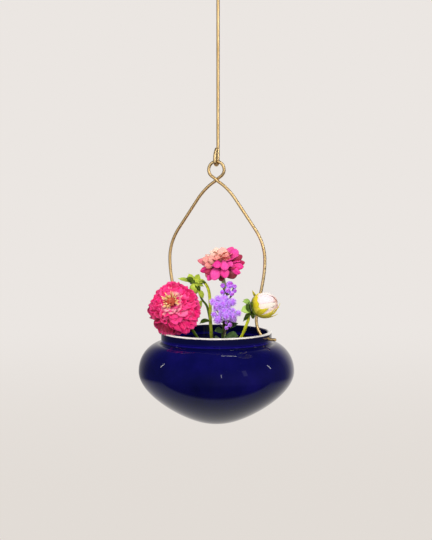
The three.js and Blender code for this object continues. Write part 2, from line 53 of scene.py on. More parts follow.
# Sizes shared with the solids, in millimetres
ROD_D = 3.2
WIRE_D = 3.0
EYE_R = 3.9
HANGER_DROP = 190.0
BAIL_DROP = 167.8
NECK_R = 54.3
NECK_H = 11.3
WALL = 4.5
LIP_R = 1.3
BELLY_R = 76.4
BELLY_DROP = 39.0
BOWL_H = 89.8
FOOT_R = 11.6
FOOT_RUN = 17.3
FOOT_RISE = 1.4
SHOULDER_RUN = 7.2
SHOULDER_TURN = 19.3
BELLY_TURN = 22.9
HOLE_DROP = 3.8
HOLE_CLEARANCE = 0.3
PIN_SLANT = 16.0  # degrees that the bail's ends fall on their way out
CLOSE_GAP = 0.5  # where a bent wire comes back beside itself
MIX_DROP = 24.0
MIX_MOUND = 3.0
STEM_SET = 14.0
PLANTING_DROP = 1.9  # the planting frame's origin below the rim
VIEW_TURN = math.radians(24.0)  # round from -Y to the viewer, also the planting's turn
GOLDEN_TURN = 137.508  # degrees from each petal to the next in a spiral

RIM_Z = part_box("bowl")[1].z
AXIS_Z = RIM_Z - HOLE_DROP * MM
PLANTING = Matrix.Translation((0, 0, RIM_Z - PLANTING_DROP * MM)) @ Matrix.Rotation(VIEW_TURN, 4, "Z")
UP = Vector((0, 0, 1))
VIEWER = Vector((math.sin(VIEW_TURN), -math.cos(VIEW_TURN), 0))
ACROSS = Vector((math.cos(VIEW_TURN), math.sin(VIEW_TURN), 0))


# Colours

def srgb(red, green, blue):
    """A display colour of 0 to 255 as the linear colour that shaders take."""
    def linear(value):
        share = value / 255
        return share / 12.92 if share <= 0.04045 else ((share + 0.055) / 1.055) ** 2.4
    return (linear(red), linear(green), linear(blue), 1.0)


# Curves

def lerp(a, b, t):
    return a + (b - a) * t


def smooth(low, high, x):
    t = share_of((x - low) / (high - low))
    return t * t * (3 - 2 * t)


def share_of(x):
    """x held between 0 and 1."""
    return min(1.0, max(0.0, x))


def ring(sides, shift=0.0):
    """The angles of evenly spaced places round a circle."""
    return [2 * math.pi * (j + shift) / sides for j in range(sides)]


def polar(radius, turn, z=0.0):
    """The point that far out from the z axis, at that angle and height."""
    return Vector((radius * math.cos(turn), radius * math.sin(turn), z))


def bezier(a, b, c, d, steps):
    """Points of a cubic curve in the plane."""
    a, b, c, d = (Vector(p) for p in (a, b, c, d))
    points = []
    for k in range(steps + 1):
        t = k / steps
        s = 1 - t
        points.append(a * s ** 3 + b * (3 * t * s ** 2) + c * (3 * t * t * s) + d * t ** 3)
    return points


def arc(centre, radius, start, end, steps):
    """Points of a circular arc in the plane, with its angles in degrees."""
    turns = [math.radians(lerp(start, end, k / steps)) for k in range(steps + 1)]
    return [Vector((centre[0] + radius * math.cos(t), centre[1] + radius * math.sin(t))) for t in turns]


def through(points, steps):
    """A centripetal spline through points, with that many steps between each two."""
    points = [Vector(p) for p in points]
    ends = [2 * points[0] - points[1], *points, 2 * points[-1] - points[-2]]
    route = []
    for p0, p1, p2, p3 in zip(ends, ends[1:], ends[2:], ends[3:]):
        d0, d1, d2 = (math.sqrt((b - a).length) for a, b in ((p0, p1), (p1, p2), (p2, p3)))
        m1 = ((p1 - p0) / d0 - (p2 - p0) / (d0 + d1) + (p2 - p1) / d1) * d1
        m2 = ((p2 - p1) / d1 - (p3 - p1) / (d1 + d2) + (p3 - p2) / d2) * d1
        for k in range(steps):
            t = k / steps
            h = (2 * t ** 3 - 3 * t * t + 1, t ** 3 - 2 * t * t + t, -2 * t ** 3 + 3 * t * t, t ** 3 - t * t)
            route.append(p1 * h[0] + m1 * h[1] + p2 * h[2] + m2 * h[3])
    return route + [points[-1]]


# Meshes

END_BULGE = 0.8  # how far a bar's rounded end stands out, as a share of its radius


def added(name, data):
    """A new object in the scene."""
    made = bpy.data.objects.new(name, data)
    bpy.context.collection.objects.link(made)
    return made


class Shape:
    """Points and faces of one piece. Each point has a look: share along, share across and a tone."""

    def __init__(self):
        self.points = []
        self.looks = []
        self.faces = []
        self.slots = []

    def grid(self, rows, looks=None, slot=0, wrap=False):
        """Rows of points as one sheet; wrap joins the two ends of each row."""
        start = len(self.points)
        width = len(rows[0])
        looks = looks or [[(0.0, 0.0, 0.0)] * width] * len(rows)
        for row, row_looks in zip(rows, looks):
            self.points.extend(row)
            self.looks.extend(row_looks)
        for i in range(len(rows) - 1):
            for j in range(width if wrap else width - 1):
                a = start + i * width + j
                b = start + i * width + (j + 1) % width
                self.faces.append((a, b, b + width, a + width))
                self.slots.append(slot)
        return start, start + (len(rows) - 1) * width, width

    def cap(self, start, width, slot=0, flip=False):
        corners = list(range(start, start + width))
        self.faces.append(tuple(reversed(corners)) if flip else tuple(corners))
        self.slots.append(slot)

    def barrel(self, rows, looks=None, slot=0):
        """Rings of points as one skin, closed by a cap at each end."""
        first, last, width = self.grid(rows, looks, slot, wrap=True)
        self.cap(first, width, slot, flip=True)
        self.cap(last, width, slot)

    def tube(self, route, radius_at, sides=12, slot=0, tone=0.0, round_ends=True):
        """A round bar along a route; radius_at(share) is its radius, tone may be a pair for its two ends."""
        places = list(route)
        tones = tone if isinstance(tone, tuple) else (tone, tone)
        shares = [k / (len(places) - 1) for k in range(len(places))]
        radii = [radius_at(s) for s in shares]
        if round_ends:
            head = (places[1] - places[0]).normalized()
            tail = (places[-1] - places[-2]).normalized()
            for turn in (0.5, 1.0, 1.4):
                reach, past = END_BULGE * math.sin(turn), math.cos(turn)
                before = route[0] - head * (radius_at(0) * reach)
                after = route[-1] + tail * (radius_at(1) * reach)
                places = [before, *places, after]
                radii = [radius_at(0) * past, *radii, radius_at(1) * past]
                shares = [0.0, *shares, 1.0]
        side = None
        rows = []
        looks = []
        for k, place in enumerate(places):
            ahead = (places[min(k + 1, len(places) - 1)] - places[max(k - 1, 0)]).normalized()
            if side is None:
                side = ahead.orthogonal()
            side = (side - ahead * side.dot(ahead)).normalized()
            across = ahead.cross(side)
            rows.append([place + (side * math.cos(t) + across * math.sin(t)) * radii[k] for t in ring(sides)])
            looks.append([(shares[k], j / sides, lerp(*tones, shares[k])) for j in range(sides)])
        self.barrel(rows, looks, slot)

    def lump(self, place, radius, rng, tone, slot=0, rough=0.25, squash=1.0):
        """A small irregular crumb or bud."""
        seed = Vector((rng.uniform(0, 50), rng.uniform(0, 50), rng.uniform(0, 50)))
        rows = []
        looks = []
        sides, levels = 8, 5
        for i in range(levels + 1):
            up = math.pi * (1 - (i + 0.02) / (levels + 0.04))
            out = math.sin(up)
            row = []
            for turn in ring(sides):
                way = polar(out, turn, math.cos(up) * squash)
                row.append(place + way * radius * (1 + rough * noise.noise(way * 1.7 + seed)))
            rows.append(row)
            looks.append([(i / levels, j / sides, tone) for j in range(sides)])
        self.barrel(rows, looks, slot)

    def mesh(self, name):
        made = bpy.data.meshes.new(name)
        made.from_pydata([tuple(p) for p in self.points], [], self.faces)
        return made

    def piece(self, name, body, slot, looks, replaced=(), thick=0.0, levels=0, under=0):
        """The finished object: it rides on a body and stands for CAD nodes. The record slot is not used."""
        mesh = self.mesh(name)
        mesh.validate()
        for look in looks:
            mesh.materials.append(look)
        mesh.polygons.foreach_set("material_index", self.slots)
        mesh.polygons.foreach_set("use_smooth", [True] * len(self.faces))
        attribute = mesh.attributes.new("look", "FLOAT_VECTOR", "POINT")
        attribute.data.foreach_set("vector", [value for look in self.looks for value in look])
        made = added(name, mesh)
        if levels:
            rounding = made.modifiers.new("rounding", "SUBSURF")
            rounding.levels = levels
            rounding.render_levels = levels
        if thick:
            sheet = made.modifiers.new("thickness", "SOLIDIFY")
            sheet.thickness = thick
            sheet.offset = -1
            sheet.material_offset = under
            sheet.material_offset_rim = 0
        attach(made, body)
        if replaced:
            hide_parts(*replaced)
        return made


# Materials

def node(look, kind, inputs=None, **settings):
    """A shader node with its settings, and values or sockets for its inputs."""
    made = look.node_tree.nodes.new("ShaderNode" + kind)
    for key, value in settings.items():
        setattr(made, key, value)
    for key, value in (inputs or {}).items():
        if isinstance(value, bpy.types.NodeSocket):
            look.node_tree.links.new(value, made.inputs[key])
        else:
            made.inputs[key].default_value = value
    return made


def material(name, **constants):
    look = bpy.data.materials.new(name)
    look.use_nodes = True
    shader = look.node_tree.nodes["Principled BSDF"]
    for key, value in constants.items():
        shader.inputs[key.replace("_", " ")].default_value = value
    return look, shader


def wire_up(look, shader, **sockets):
    for key, socket in sockets.items():
        look.node_tree.links.new(socket, shader.inputs[key.replace("_", " ")])


def ramp(look, fac, *stops):
    """A colour ramp of (place, colour) stops."""
    made = node(look, "ValToRGB", {"Fac": fac})
    elements = made.color_ramp.elements
    while len(elements) < len(stops):
        elements.new(0.5)
    for element, (place, colour) in zip(elements, stops):
        element.position = place
        element.color = colour
    return made.outputs["Color"]


def mix(look, fac, a, b, blend="MIX"):
    made = node(look, "Mix", {0: fac, 6: a, 7: b}, data_type="RGBA", blend_type=blend)
    return made.outputs[2]


def math_node(look, operation, a, b=0.0, clamp=False):
    return node(look, "Math", {0: a, 1: b}, operation=operation, use_clamp=clamp).outputs[0]


def times(look, a, b):
    return math_node(look, "MULTIPLY", a, b)


def plus(look, a, b, clamp=False):
    return math_node(look, "ADD", a, b, clamp)


def dot(look, a, b):
    return node(look, "VectorMath", {0: a, 1: b}, operation="DOT_PRODUCT").outputs["Value"]


def length_of(look, vector):
    return node(look, "VectorMath", {0: vector}, operation="LENGTH").outputs["Value"]


def spread(look, value, low, high, to_low=0.0, to_high=1.0):
    """A value led smoothly from low..high to to_low..to_high."""
    inputs = {0: value, 1: low, 2: high, 3: to_low, 4: to_high}
    return node(look, "MapRange", inputs, interpolation_type="SMOOTHSTEP").outputs[0]


def own_place(look):
    return node(look, "TexCoord").outputs["Object"]


def looks_of(look):
    """The share along, the share across and the tone that a piece's points hold."""
    held = node(look, "Attribute", attribute_name="look")
    parts = node(look, "SeparateXYZ", {0: held.outputs["Vector"]})
    return parts.outputs[0], parts.outputs[1], parts.outputs[2]


def noise_at(look, vector, scale, detail=3.0, rough=0.5):
    inputs = {"Vector": vector, "Scale": scale, "Detail": detail, "Roughness": rough}
    return node(look, "TexNoise", inputs).outputs["Fac"]


def bump(look, height, strength, distance):
    inputs = {"Height": height, "Strength": strength, "Distance": distance}
    return node(look, "Bump", inputs).outputs["Normal"]


def brass_look():
    """Lacquered brass wire: warm gold with soft patches of tarnish."""
    look, shader = material("aged_brass", Metallic=1.0)
    tarnish = noise_at(look, own_place(look), 30, 2, 0.4)
    gold = ramp(
        look, tarnish,
        (0.3, srgb(200, 167, 113)), (0.5, srgb(210, 180, 127)), (0.7, srgb(220, 194, 143)),
    )
    wire_up(look, shader, Base_Color=gold, Roughness=spread(look, tarnish, 0.3, 0.7, 0.46, 0.4))
    return look


def glaze_look():
    """Deep cobalt glaze that stops at a bare pale rim, thin and brownish where it breaks over the edge."""
    look, shader = material("cobalt_glaze", IOR=1.5, Specular_IOR_Level=0.42)
    place = own_place(look)
    parts = node(look, "SeparateXYZ", {0: place})
    height = parts.outputs[2]
    flat = node(look, "CombineXYZ", {0: parts.outputs[0], 1: parts.outputs[1]})
    out = length_of(look, flat.outputs[0])
    wobble = times(look, noise_at(look, place, 90, 3), 0.0008)
    lip_in, lip_out = (NECK_R - WALL + LIP_R) * MM, (NECK_R - LIP_R) * MM
    edge = spread(look, out, lip_in, lip_out, RIM_Z + 0.0004, RIM_Z - 0.0007)
    level = math_node(look, "SUBTRACT", plus(look, height, wobble), edge)
    pool = noise_at(look, place, 24, 4, 0.55)
    deep = ramp(look, pool, (0.3, srgb(5, 7, 50)), (0.55, srgb(10, 10, 71)), (0.75, srgb(17, 14, 88)))
    belly_z, base_z = RIM_Z - BELLY_DROP * MM, RIM_Z - BOWL_H * MM
    # Painted shade: the glaze gets darker from the belly down to the base.
    deep = mix(look, spread(look, height, belly_z, base_z, 0.0, 0.85), deep, srgb(8, 8, 30))
    # Painted light and shade on the neck: a dark line at its foot, a bright band of painted highlight across
    # its lower part and painted shade under the rim.
    collar_light_and_shade = ramp(
        look, spread(look, height, RIM_Z - 0.0148, RIM_Z - 0.0018),
        (0.1, srgb(9, 9, 70)), (0.24, srgb(5, 7, 52)), (0.31, srgb(3, 5, 36)), (0.38, srgb(16, 12, 84)),
        (0.46, srgb(32, 21, 138)), (0.58, srgb(14, 10, 100)), (0.74, srgb(5, 8, 52)), (0.95, srgb(5, 8, 44)),
    )
    deep = mix(look, spread(look, height, RIM_Z - 0.015, RIM_Z - 0.0125, 0.0, 0.8), deep, collar_light_and_shade)
    specks = noise_at(look, place, 1500, 2)
    body = mix(look, spread(look, specks, 0.68, 0.8, 0.0, 0.3), deep, srgb(44, 32, 116))
    bare = ramp(look, noise_at(look, place, 160, 4), (0.35, srgb(226, 221, 216)), (0.65, srgb(240, 237, 234)))
    thin = spread(look, level, -0.0006, 0.0)
    line = spread(look, level, -0.0002, 0.0003)
    broken = mix(look, thin, body, srgb(58, 42, 78))
    ripple = plus(look, noise_at(look, place, 38, 2), times(look, specks, 0.02))
    wire_up(
        look, shader,
        Base_Color=mix(look, line, broken, bare),
        Roughness=plus(look, times(look, line, 0.22), 0.03),
        Normal=bump(look, ripple, 0.04, 0.002),
    )
    return look


def mix_look():
    """Dark earth; crumbs have a tone of their own, and a few of them are pale grit."""
    look, shader = material("potting_mix")
    place = own_place(look)
    tone = looks_of(look)[2]
    grain = noise_at(look, place, 420, 5, 0.65)
    earth = ramp(look, grain, (0.3, srgb(24, 16, 11)), (0.55, srgb(52, 36, 24)), (0.75, srgb(92, 66, 44)))
    crumb = ramp(
        look, tone,
        (0.0, srgb(40, 27, 18)), (0.6, srgb(104, 72, 45)),
        (0.9, srgb(120, 86, 56)), (0.97, srgb(214, 206, 192)),
    )
    crumb = mix(look, 0.45, crumb, earth, "MULTIPLY")
    wire_up(
        look, shader,
        Base_Color=mix(look, spread(look, tone, 0.01, 0.05), earth, crumb),
        Roughness=spread(look, grain, 0.2, 0.8, 0.98, 0.8),
        Normal=bump(look, grain, 0.6, 0.0012),
    )
    return look


def petal_look(
    name, base, stops, vein, vein_strength, tip=None, roughness=0.5, base_end=0.5, base_share=0.75, edge=0.0,
):
    """Petal colour: stops over the tone, a deeper base, a darker edge that is painted shade between petals,
    streaks along the petal and a tip colour.
    """
    look, shader = material(name, Sheen_Weight=0.03, Sheen_Roughness=0.4, Specular_IOR_Level=0.2)
    along, across, tone = looks_of(look)
    lane = times(look, across, 9.0)
    lanes = node(look, "CombineXYZ", {0: lane, 1: along, 2: times(look, tone, 37.0)})
    streak = noise_at(look, lanes.outputs[0], 1.4, 4, 0.6)
    patch = noise_at(look, own_place(look), 210, 3)
    colour = ramp(look, tone, *stops)
    strength = spread(look, tone, 0.0, 0.3, 0.3 * vein_strength, vein_strength)
    colour = mix(look, times(look, spread(look, streak, 0.42, 0.72), strength), colour, vein)
    colour = mix(look, spread(look, along, base_end, 0.05, 0.0, base_share), colour, base)
    # Painted shade: the colour darkens towards the petal's sides, standing in for the shade between
    # overlapping petals.
    if edge:
        from_middle = math_node(look, "ABSOLUTE", across)
        colour = mix(look, spread(look, from_middle, 0.55, 1.0, 0.0, edge), colour, base)
    if tip:
        frayed = plus(look, along, times(look, streak, 0.3))
        colour = mix(look, spread(look, frayed, 0.98, 1.2), colour, tip)
    colour = mix(look, spread(look, patch, 0.35, 0.7, 0.0, 0.03), colour, srgb(255, 236, 236))
    wire_up(
        look, shader,
        Base_Color=colour,
        Roughness=spread(look, patch, 0.2, 0.8, roughness + 0.12, roughness - 0.08),
        Normal=bump(look, streak, 0.25, 0.0006),
    )
    return look


def green_look(name, dark, light, rib, roughness=0.45):
    """Stem and leaf green: tone leads from dark to light, with ribs along the stem and mottling."""
    look, shader = material(name, Specular_IOR_Level=0.4)
    _, across, tone = looks_of(look)
    lanes = node(look, "CombineXYZ", {0: across}).outputs[0]
    ribs = node(look, "TexWave", {"Vector": lanes, "Scale": 4.0, "Distortion": 1.5}).outputs["Fac"]
    mottle = noise_at(look, own_place(look), 260, 4)
    blend = plus(look, tone, spread(look, mottle, 0.3, 0.7, -0.14, 0.14), clamp=True)
    colour = mix(look, blend, dark, light)
    colour = mix(look, times(look, ribs, 0.25), colour, rib)
    wire_up(
        look, shader,
        Base_Color=colour,
        Roughness=spread(look, mottle, 0.2, 0.8, roughness + 0.12, roughness - 0.1),
        Normal=bump(look, plus(look, ribs, mottle), 0.2, 0.0003),
    )
    return look


def floss_look():
    """Floss threads: violet at the heart, pale lilac at the tips; whole buds have a tone above one half."""
    look, shader = material("floss_lilac", Sheen_Weight=0.3, Sheen_Roughness=0.5, Specular_IOR_Level=0.2)
    along, _, tone = looks_of(look)
    mottle = noise_at(look, own_place(look), 700, 2)
    thread = ramp(
        look, along, (0.0, srgb(168, 72, 230)), (0.45, srgb(188, 112, 242)), (1.0, srgb(212, 174, 250)),
    )
    shade = mix(look, spread(look, tone, 0.4, 0.6), thread, srgb(178, 98, 230))
    shade = mix(look, spread(look, tone, 0.75, 0.95), shade, srgb(162, 54, 178))
    wire_up(
        look, shader,
        Base_Color=mix(look, spread(look, mottle, 0.4, 0.75, 0.0, 0.25), shade, srgb(206, 172, 246)),
        Roughness=spread(look, mottle, 0.2, 0.8, 0.7, 0.5),
    )
    return look


brass = brass_look()
glaze = glaze_look()
soil = mix_look()
lime = green_look("stem_lime", srgb(46, 64, 12), srgb(246, 253, 56), srgb(190, 206, 30))
dark_green = green_look("stem_dark", srgb(30, 52, 14), srgb(112, 138, 34), srgb(60, 92, 22))
grey_green = green_look("stem_grey_green", srgb(74, 90, 44), srgb(196, 216, 148), srgb(140, 162, 96))
leaf_green = green_look("leaf_green", srgb(20, 42, 24), srgb(120, 156, 92), srgb(74, 108, 62), 0.4)
pale_leaf = green_look("leaf_pale", srgb(96, 142, 34), srgb(184, 214, 116), srgb(130, 170, 70), 0.4)
bract_green = green_look("bract_green", srgb(30, 56, 8), srgb(200, 220, 80), srgb(100, 132, 26), 0.36)


# Brass rod and bail

def hanger_rod():
    """The rod: a hook at its top, a straight shank and an eye at its foot."""
    rod_r = ROD_D / 2
    hook_r, hook_lead, hook_tip = 7.6, 26.0, 6.0
    eye_leg, eye_rise = 2.5, 11.5
    half_lead = hook_lead / 2
    eye_z = -(HANGER_DROP + rod_r) + EYE_R
    hook_z = rod_r - hook_r
    lead_z = hook_z - hook_lead
    tip_y = EYE_R - ROD_D - CLOSE_GAP
    flat = [Vector((-hook_r, hook_z - hook_tip)), *arc((0, hook_z), hook_r, 180, 0, 28)]
    flat += bezier(
        (hook_r, hook_z), (hook_r, hook_z - half_lead), (EYE_R, lead_z + half_lead), (EYE_R, lead_z), 16,
    )[1:]
    flat += [Vector((EYE_R, lerp(lead_z, eye_z, share))) for share in (0.03, 0.25, 0.5, 0.75, 0.97)]
    flat += arc((0, eye_z), EYE_R, 0, -180, 26)
    flat += bezier(
        (-EYE_R, eye_z + eye_leg), (-EYE_R, eye_z + eye_rise / 2),
        (tip_y - EYE_R / 2, eye_z + eye_rise - EYE_R / 2), (tip_y, eye_z + eye_rise), 14,
    )
    shape = Shape()
    shape.tube([Vector((0, p.x, p.y)) * MM for p in flat], lambda s: rod_r * MM, 20)
    shape.piece("rod_brass", "hanger", "brass", [brass], ["hanger_rod"])


def bail_wire():
    """The bail: a loop whose strands cross, two bowed arms, and ends that leave through the neck."""
    loop_r, slope_deg = 7.7, 35.0
    wide_x, wide_z = 50.7, 73.9
    waist_x, waist_z = 42.1, 16.7
    cross_bend, top_bend, low_bend = 3.5, 13.0, 11.0
    sag_x, sag_z = 2.0, 0.5
    arm_bow, waist_bow, waist_turn, pin_lead = 22.0, 15.0, 7.0, 4.0
    pin_slope, pin_out = math.tan(math.radians(PIN_SLANT)), 7.2
    arm_top_x, arm_top_drop = 19.4, 18.4
    arm_low_in, arm_low_rise = 9.9, 30.0
    wire_r = WIRE_D / 2
    cross_y = (WIRE_D + CLOSE_GAP) / 2
    slope = math.radians(slope_deg)
    loop_z = BAIL_DROP + wire_r - loop_r
    cross_z = loop_z - loop_r / math.cos(slope)
    top = Vector((arm_top_x, cross_z - arm_top_drop))
    low = Vector((wide_x - arm_low_in, wide_z + arm_low_rise))
    run = (low - top).normalized()
    inner_x = NECK_R - WALL

    def pin_z(x):
        return (NECK_R - WALL / 2 - x) * pin_slope

    kink_x = NECK_R + pin_out / 3
    arm = bezier(
        (0, cross_z), (cross_bend * math.cos(slope), cross_z - cross_bend * math.sin(slope)),
        top - run * top_bend, top, 16,
    )
    arm += [lerp(top, low, share) for share in (0.25, 0.5, 0.75)]
    arm += bezier(low, low + run * low_bend, (wide_x, wide_z + low_bend), (wide_x, wide_z), 16)
    arm += bezier(
        (wide_x, wide_z), (wide_x, wide_z - arm_bow), (waist_x, waist_z + waist_bow), (waist_x, waist_z), 20,
    )[1:]
    arm += bezier(
        (waist_x, waist_z), (waist_x, waist_z - waist_turn), (inner_x - pin_lead, pin_z(inner_x - pin_lead)),
        (inner_x, pin_z(inner_x)), 16,
    )[1:]
    ends = [(NECK_R, pin_z(NECK_R)), (kink_x, pin_z(kink_x)), (NECK_R + pin_out, pin_z(kink_x))]
    arm += [Vector((p.x, p.y)) for p in through([(x, z, 0) for x, z in ends], 6)]

    def side(sign):
        """One arm: in front of or behind the other at the crossing, and sagging a little just past it."""
        route = []
        for p in arm:
            share = p.x / sag_x
            sag = sag_z * share * math.exp(1 - share)
            route.append(Vector((sign * p.x, -sign * cross_y * max(0.0, 1 - p.x / top.x), p.y - sag)))
        return route

    leave = 90 - slope_deg
    steps = 44
    loop = []
    for k in range(steps + 1):
        turn = math.radians(-leave + (180 + 2 * leave) * k / steps)
        y = cross_y * (1 - 2 * k / steps)
        loop.append(Vector((loop_r * math.cos(turn), y, loop_z + loop_r * math.sin(turn))))
    route = [*reversed(side(-1)), *loop, *side(1)]
    shape = Shape()
    lift = UP * AXIS_Z
    shape.tube([lift + p * MM for p in route], lambda s: wire_r * MM, 20)
    shape.piece("bail_brass", "bail", "brass", [brass], ["bail_wire"])


# Bowl

def bowl_profile():
    """The bowl's section from the middle of its base, up its outside, over the lip and down its inside."""
    fillet_r, groove_h, groove_depth = 2.2, 1.4, 0.9
    half = WALL / 2
    inner_neck, inner_belly = NECK_R - WALL, BELLY_R - WALL
    top = -NECK_H - WALL
    groove = NECK_R - groove_depth
    fillet_z = -NECK_H + fillet_r
    points = [Vector((FOOT_R * share, -BOWL_H)) for share in (0.04, 0.25, 0.5, 0.75, 0.9)]
    points += bezier(
        (FOOT_R, -BOWL_H), (FOOT_R + FOOT_RUN, -BOWL_H + FOOT_RISE),
        (BELLY_R, -BELLY_DROP - BELLY_TURN), (BELLY_R, -BELLY_DROP), 44,
    )
    points += bezier(
        (BELLY_R, -BELLY_DROP), (BELLY_R, -BELLY_DROP + SHOULDER_TURN),
        (NECK_R + SHOULDER_RUN, -NECK_H), (NECK_R + fillet_r + 0.4, -NECK_H), 30,
    )[1:]
    points += arc((NECK_R + fillet_r + 0.2, -NECK_H + fillet_r), fillet_r, 270, 184, 12)
    points += bezier(
        (NECK_R, fillet_z), (groove, fillet_z + 0.1),
        (groove, fillet_z + groove_h * 0.6), (NECK_R, fillet_z + groove_h), 10,
    )
    points += [Vector((NECK_R, lerp(fillet_z + groove_h * 1.3, -LIP_R * 1.3, k / 5))) for k in range(6)]
    points += arc((NECK_R - LIP_R, -LIP_R), LIP_R, 0, 90, 8)
    points += arc((inner_neck + LIP_R, -LIP_R), LIP_R, 90, 180, 8)
    points += [Vector((inner_neck, lerp(-LIP_R * 1.3, top + 1, k / 5))) for k in range(6)]
    points += bezier(
        (inner_neck, top), (inner_neck + SHOULDER_RUN, top),
        (inner_belly, -BELLY_DROP + SHOULDER_TURN - half), (inner_belly, -BELLY_DROP), 20,
    )
    points += bezier(
        (inner_belly, -BELLY_DROP), (inner_belly, -BELLY_DROP - BELLY_TURN + half),
        (FOOT_R + FOOT_RUN - WALL, -BOWL_H + FOOT_RISE + WALL), (FOOT_R, -BOWL_H + WALL), 20,
    )[1:]
    points += [Vector((FOOT_R * share, -BOWL_H + WALL)) for share in (0.7, 0.35, 0.04)]
    return points


def bowl():
    turns = ring(200, 0.5)
    rim = UP * RIM_Z
    rows = [[polar(p.x, t, p.y) * MM + rim for t in turns] for p in bowl_profile()]
    shape = Shape()
    shape.barrel(rows)
    made = shape.piece("bowl_glazed", "bowl", "glaze", [glaze], ["bowl"])
    drill_holes(made)


def drill_holes(made):
    """Round holes through the neck for the bail's two ends."""
    slant = math.radians(PIN_SLANT)
    hole_r = WIRE_D / 2 / math.cos(slant) + WALL / 2 * math.tan(slant) + HOLE_CLEARANCE
    for side in (-1, 1):
        drill = Shape()
        middle = Vector((side * (NECK_R - WALL / 2) * MM, 0, AXIS_Z))
        reach = Vector((WALL * 1.2 * MM, 0, 0))
        drill.tube([middle - reach, middle, middle + reach], lambda s: hole_r * MM, 36, round_ends=False)
        tool = added("drill", drill.mesh("drill"))
        cutting = made.modifiers.new("hole", "BOOLEAN")
        cutting.operation = "DIFFERENCE"
        cutting.solver = "EXACT"
        cutting.object = tool
        bpy.context.view_layer.objects.active = made
        bpy.ops.object.modifier_apply(modifier=cutting.name)
        bpy.data.objects.remove(tool)
    made.data.set_sharp_from_angle(angle=math.radians(50))


# Potting mix

def potting_mix():
    """A rough mound with loose crumbs on it."""
    rng = random.Random(11)
    inset, least_r, sunk, skirt = 0.0065, 0.0004, 0.0012, 0.004
    edge_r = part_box("potting_mix")[1].x - inset
    top_z = RIM_Z - MIX_DROP * MM
    rings, turns = 34, ring(96)
    crumbs, crumb_sunk = 520, 0.0006

    def mound(r):
        return MIX_MOUND * MM * (1 - (r / edge_r) ** 2)

    rows = []
    for i in range(rings + 1):
        r = max(edge_r * i / rings, least_r)
        row = []
        for turn in turns:
            flat = polar(r, turn)
            rough = 0.0016 * noise.noise(flat * 120) + 0.0009 * noise.noise(flat * 420)
            row.append(flat + Vector((0, 0, top_z + mound(r) + rough - sunk)))
        rows.append(row)
    rows.append([p - Vector((0, 0, skirt)) for p in rows[-1]])
    shape = Shape()
    shape.barrel(rows)
    for _ in range(crumbs):
        turn = rng.uniform(0, 2 * math.pi)
        r = edge_r * math.sqrt(rng.random()) * 0.97
        size = rng.uniform(0.0006, 0.0021)
        place = polar(r, turn, top_z + mound(r) - crumb_sunk)
        shape.lump(place, size, rng, rng.uniform(0.08, 1.0), rough=0.7, squash=rng.uniform(0.4, 0.9))
    shape.piece("soil_crumbs", "bowl", "potting_mix", [soil], ["potting_mix"])


# Flowers

def planted(x, y, z):
    return PLANTING @ (Vector((x, y, z)) * MM)


def head_frame(head, facing):
    """A frame at a flower head whose z axis is the way the flower faces."""
    turn = UP.rotation_difference(Vector(facing).normalized()).to_matrix().to_4x4()
    return PLANTING @ Matrix.Translation(Vector(head) * MM) @ turn


def around(degrees, radius, height):
    """A petal's base: that far round and out from a head's axis, pointing outwards."""
    return Matrix.Rotation(math.radians(degrees), 4, "Z") @ Matrix.Translation((radius * MM, 0, height * MM))


def outward_of(base):
    """The way that a petal's base points, in the planting frame."""
    return PLANTING.inverted().to_3x3() @ base.to_3x3() @ Vector((1, 0, 0))


def petal(
    shape, base, length, width, rise, bend, tone, rng, slot=0, cup=0.12, ruffle=0.0, notch=0.0,
    neck=0.25, blunt=0.3, fullest=0.6, rows=8, columns=6, sway=0.0,
):
    """A thin petal or leaf along +X of its base: it leaves at the angle rise and bends by bend on its way."""
    start = math.radians(rise)
    turn = math.radians(bend if abs(bend) > 0.5 else 0.5)
    waves = [rng.uniform(0, 2 * math.pi) for _ in range(3)]
    points = []
    looks = []
    for i in range(rows + 1):
        u = i / rows
        swell = neck + (1 - neck) * smooth(0.0, fullest, u)
        if u > fullest:
            swell *= math.sqrt(max(0.0, 1 - (1 - blunt * blunt) * ((u - fullest) / (1 - fullest)) ** 2))
        half = width / 2 * swell
        row = []
        for j in range(columns + 1):
            v = 1 - 2 * j / columns
            reach = length * (1 - 0.10 * u * v * v - notch * u * math.exp(-((v / 0.22) ** 2)))
            wave = math.sin(5.2 * v + waves[0]) + 0.7 * math.sin(8.6 * v + 3 * u + waves[1])
            lift = cup * v * v * half + ruffle * half * u * u * wave
            angle = start + turn * u
            x = reach * (math.sin(angle) - math.sin(start)) / turn - lift * math.sin(angle)
            z = reach * (math.cos(start) - math.cos(angle)) / turn + lift * math.cos(angle)
            y = v * half * (1 + 0.06 * math.sin(6 * u + waves[2])) + sway * u * u * length
            row.append(base @ (Vector((x, y, z)) * MM))
        points.append(row)
        looks.append([(u, 1 - 2 * j / columns, tone) for j in range(columns + 1)])
    shape.grid(points, looks, slot)


def leaf(shape, root, tip, face, width, bend, tone, rng, **form):
    """A petal or leaf from root to tip in the planting frame, arched by bend, with its upper side to face."""
    run = Vector(tip) - Vector(root)
    ahead = run.normalized()
    up = (Vector(face) - ahead * ahead.dot(Vector(face))).normalized()
    turned = Matrix((ahead, up.cross(ahead), up)).transposed().to_4x4()
    base = PLANTING @ Matrix.Translation(Vector(root) * MM) @ turned
    half = math.radians(bend) / 2
    petal(shape, base, run.length * half / math.sin(half), width, -bend / 2, bend, tone, rng, **form)


def leaves(name, slot, looks, table, rng, under=0, **form):
    """One piece of leaves; a row of the table may end with the place of the leaf's look among looks."""
    shape = Shape()
    for root, tip, face, width, bend, tone, *look in table:
        leaf(shape, root, tip, face, width, bend, tone, rng, slot=look[0] if look else 0, **form)
    shape.piece(name, "bowl", slot, looks, thick=0.0005, levels=1, under=under)


def reaching(base_r, base_z, tip_r, tip_z, bend):
    """(length, rise) of a petal that bends on its way from a base to a tip, both by radius and height."""
    half = math.radians(bend) / 2
    chord = math.degrees(math.atan2(tip_z - base_z, tip_r - base_r))
    return math.hypot(tip_r - base_r, tip_z - base_z) * half / math.sin(half), chord - bend / 2


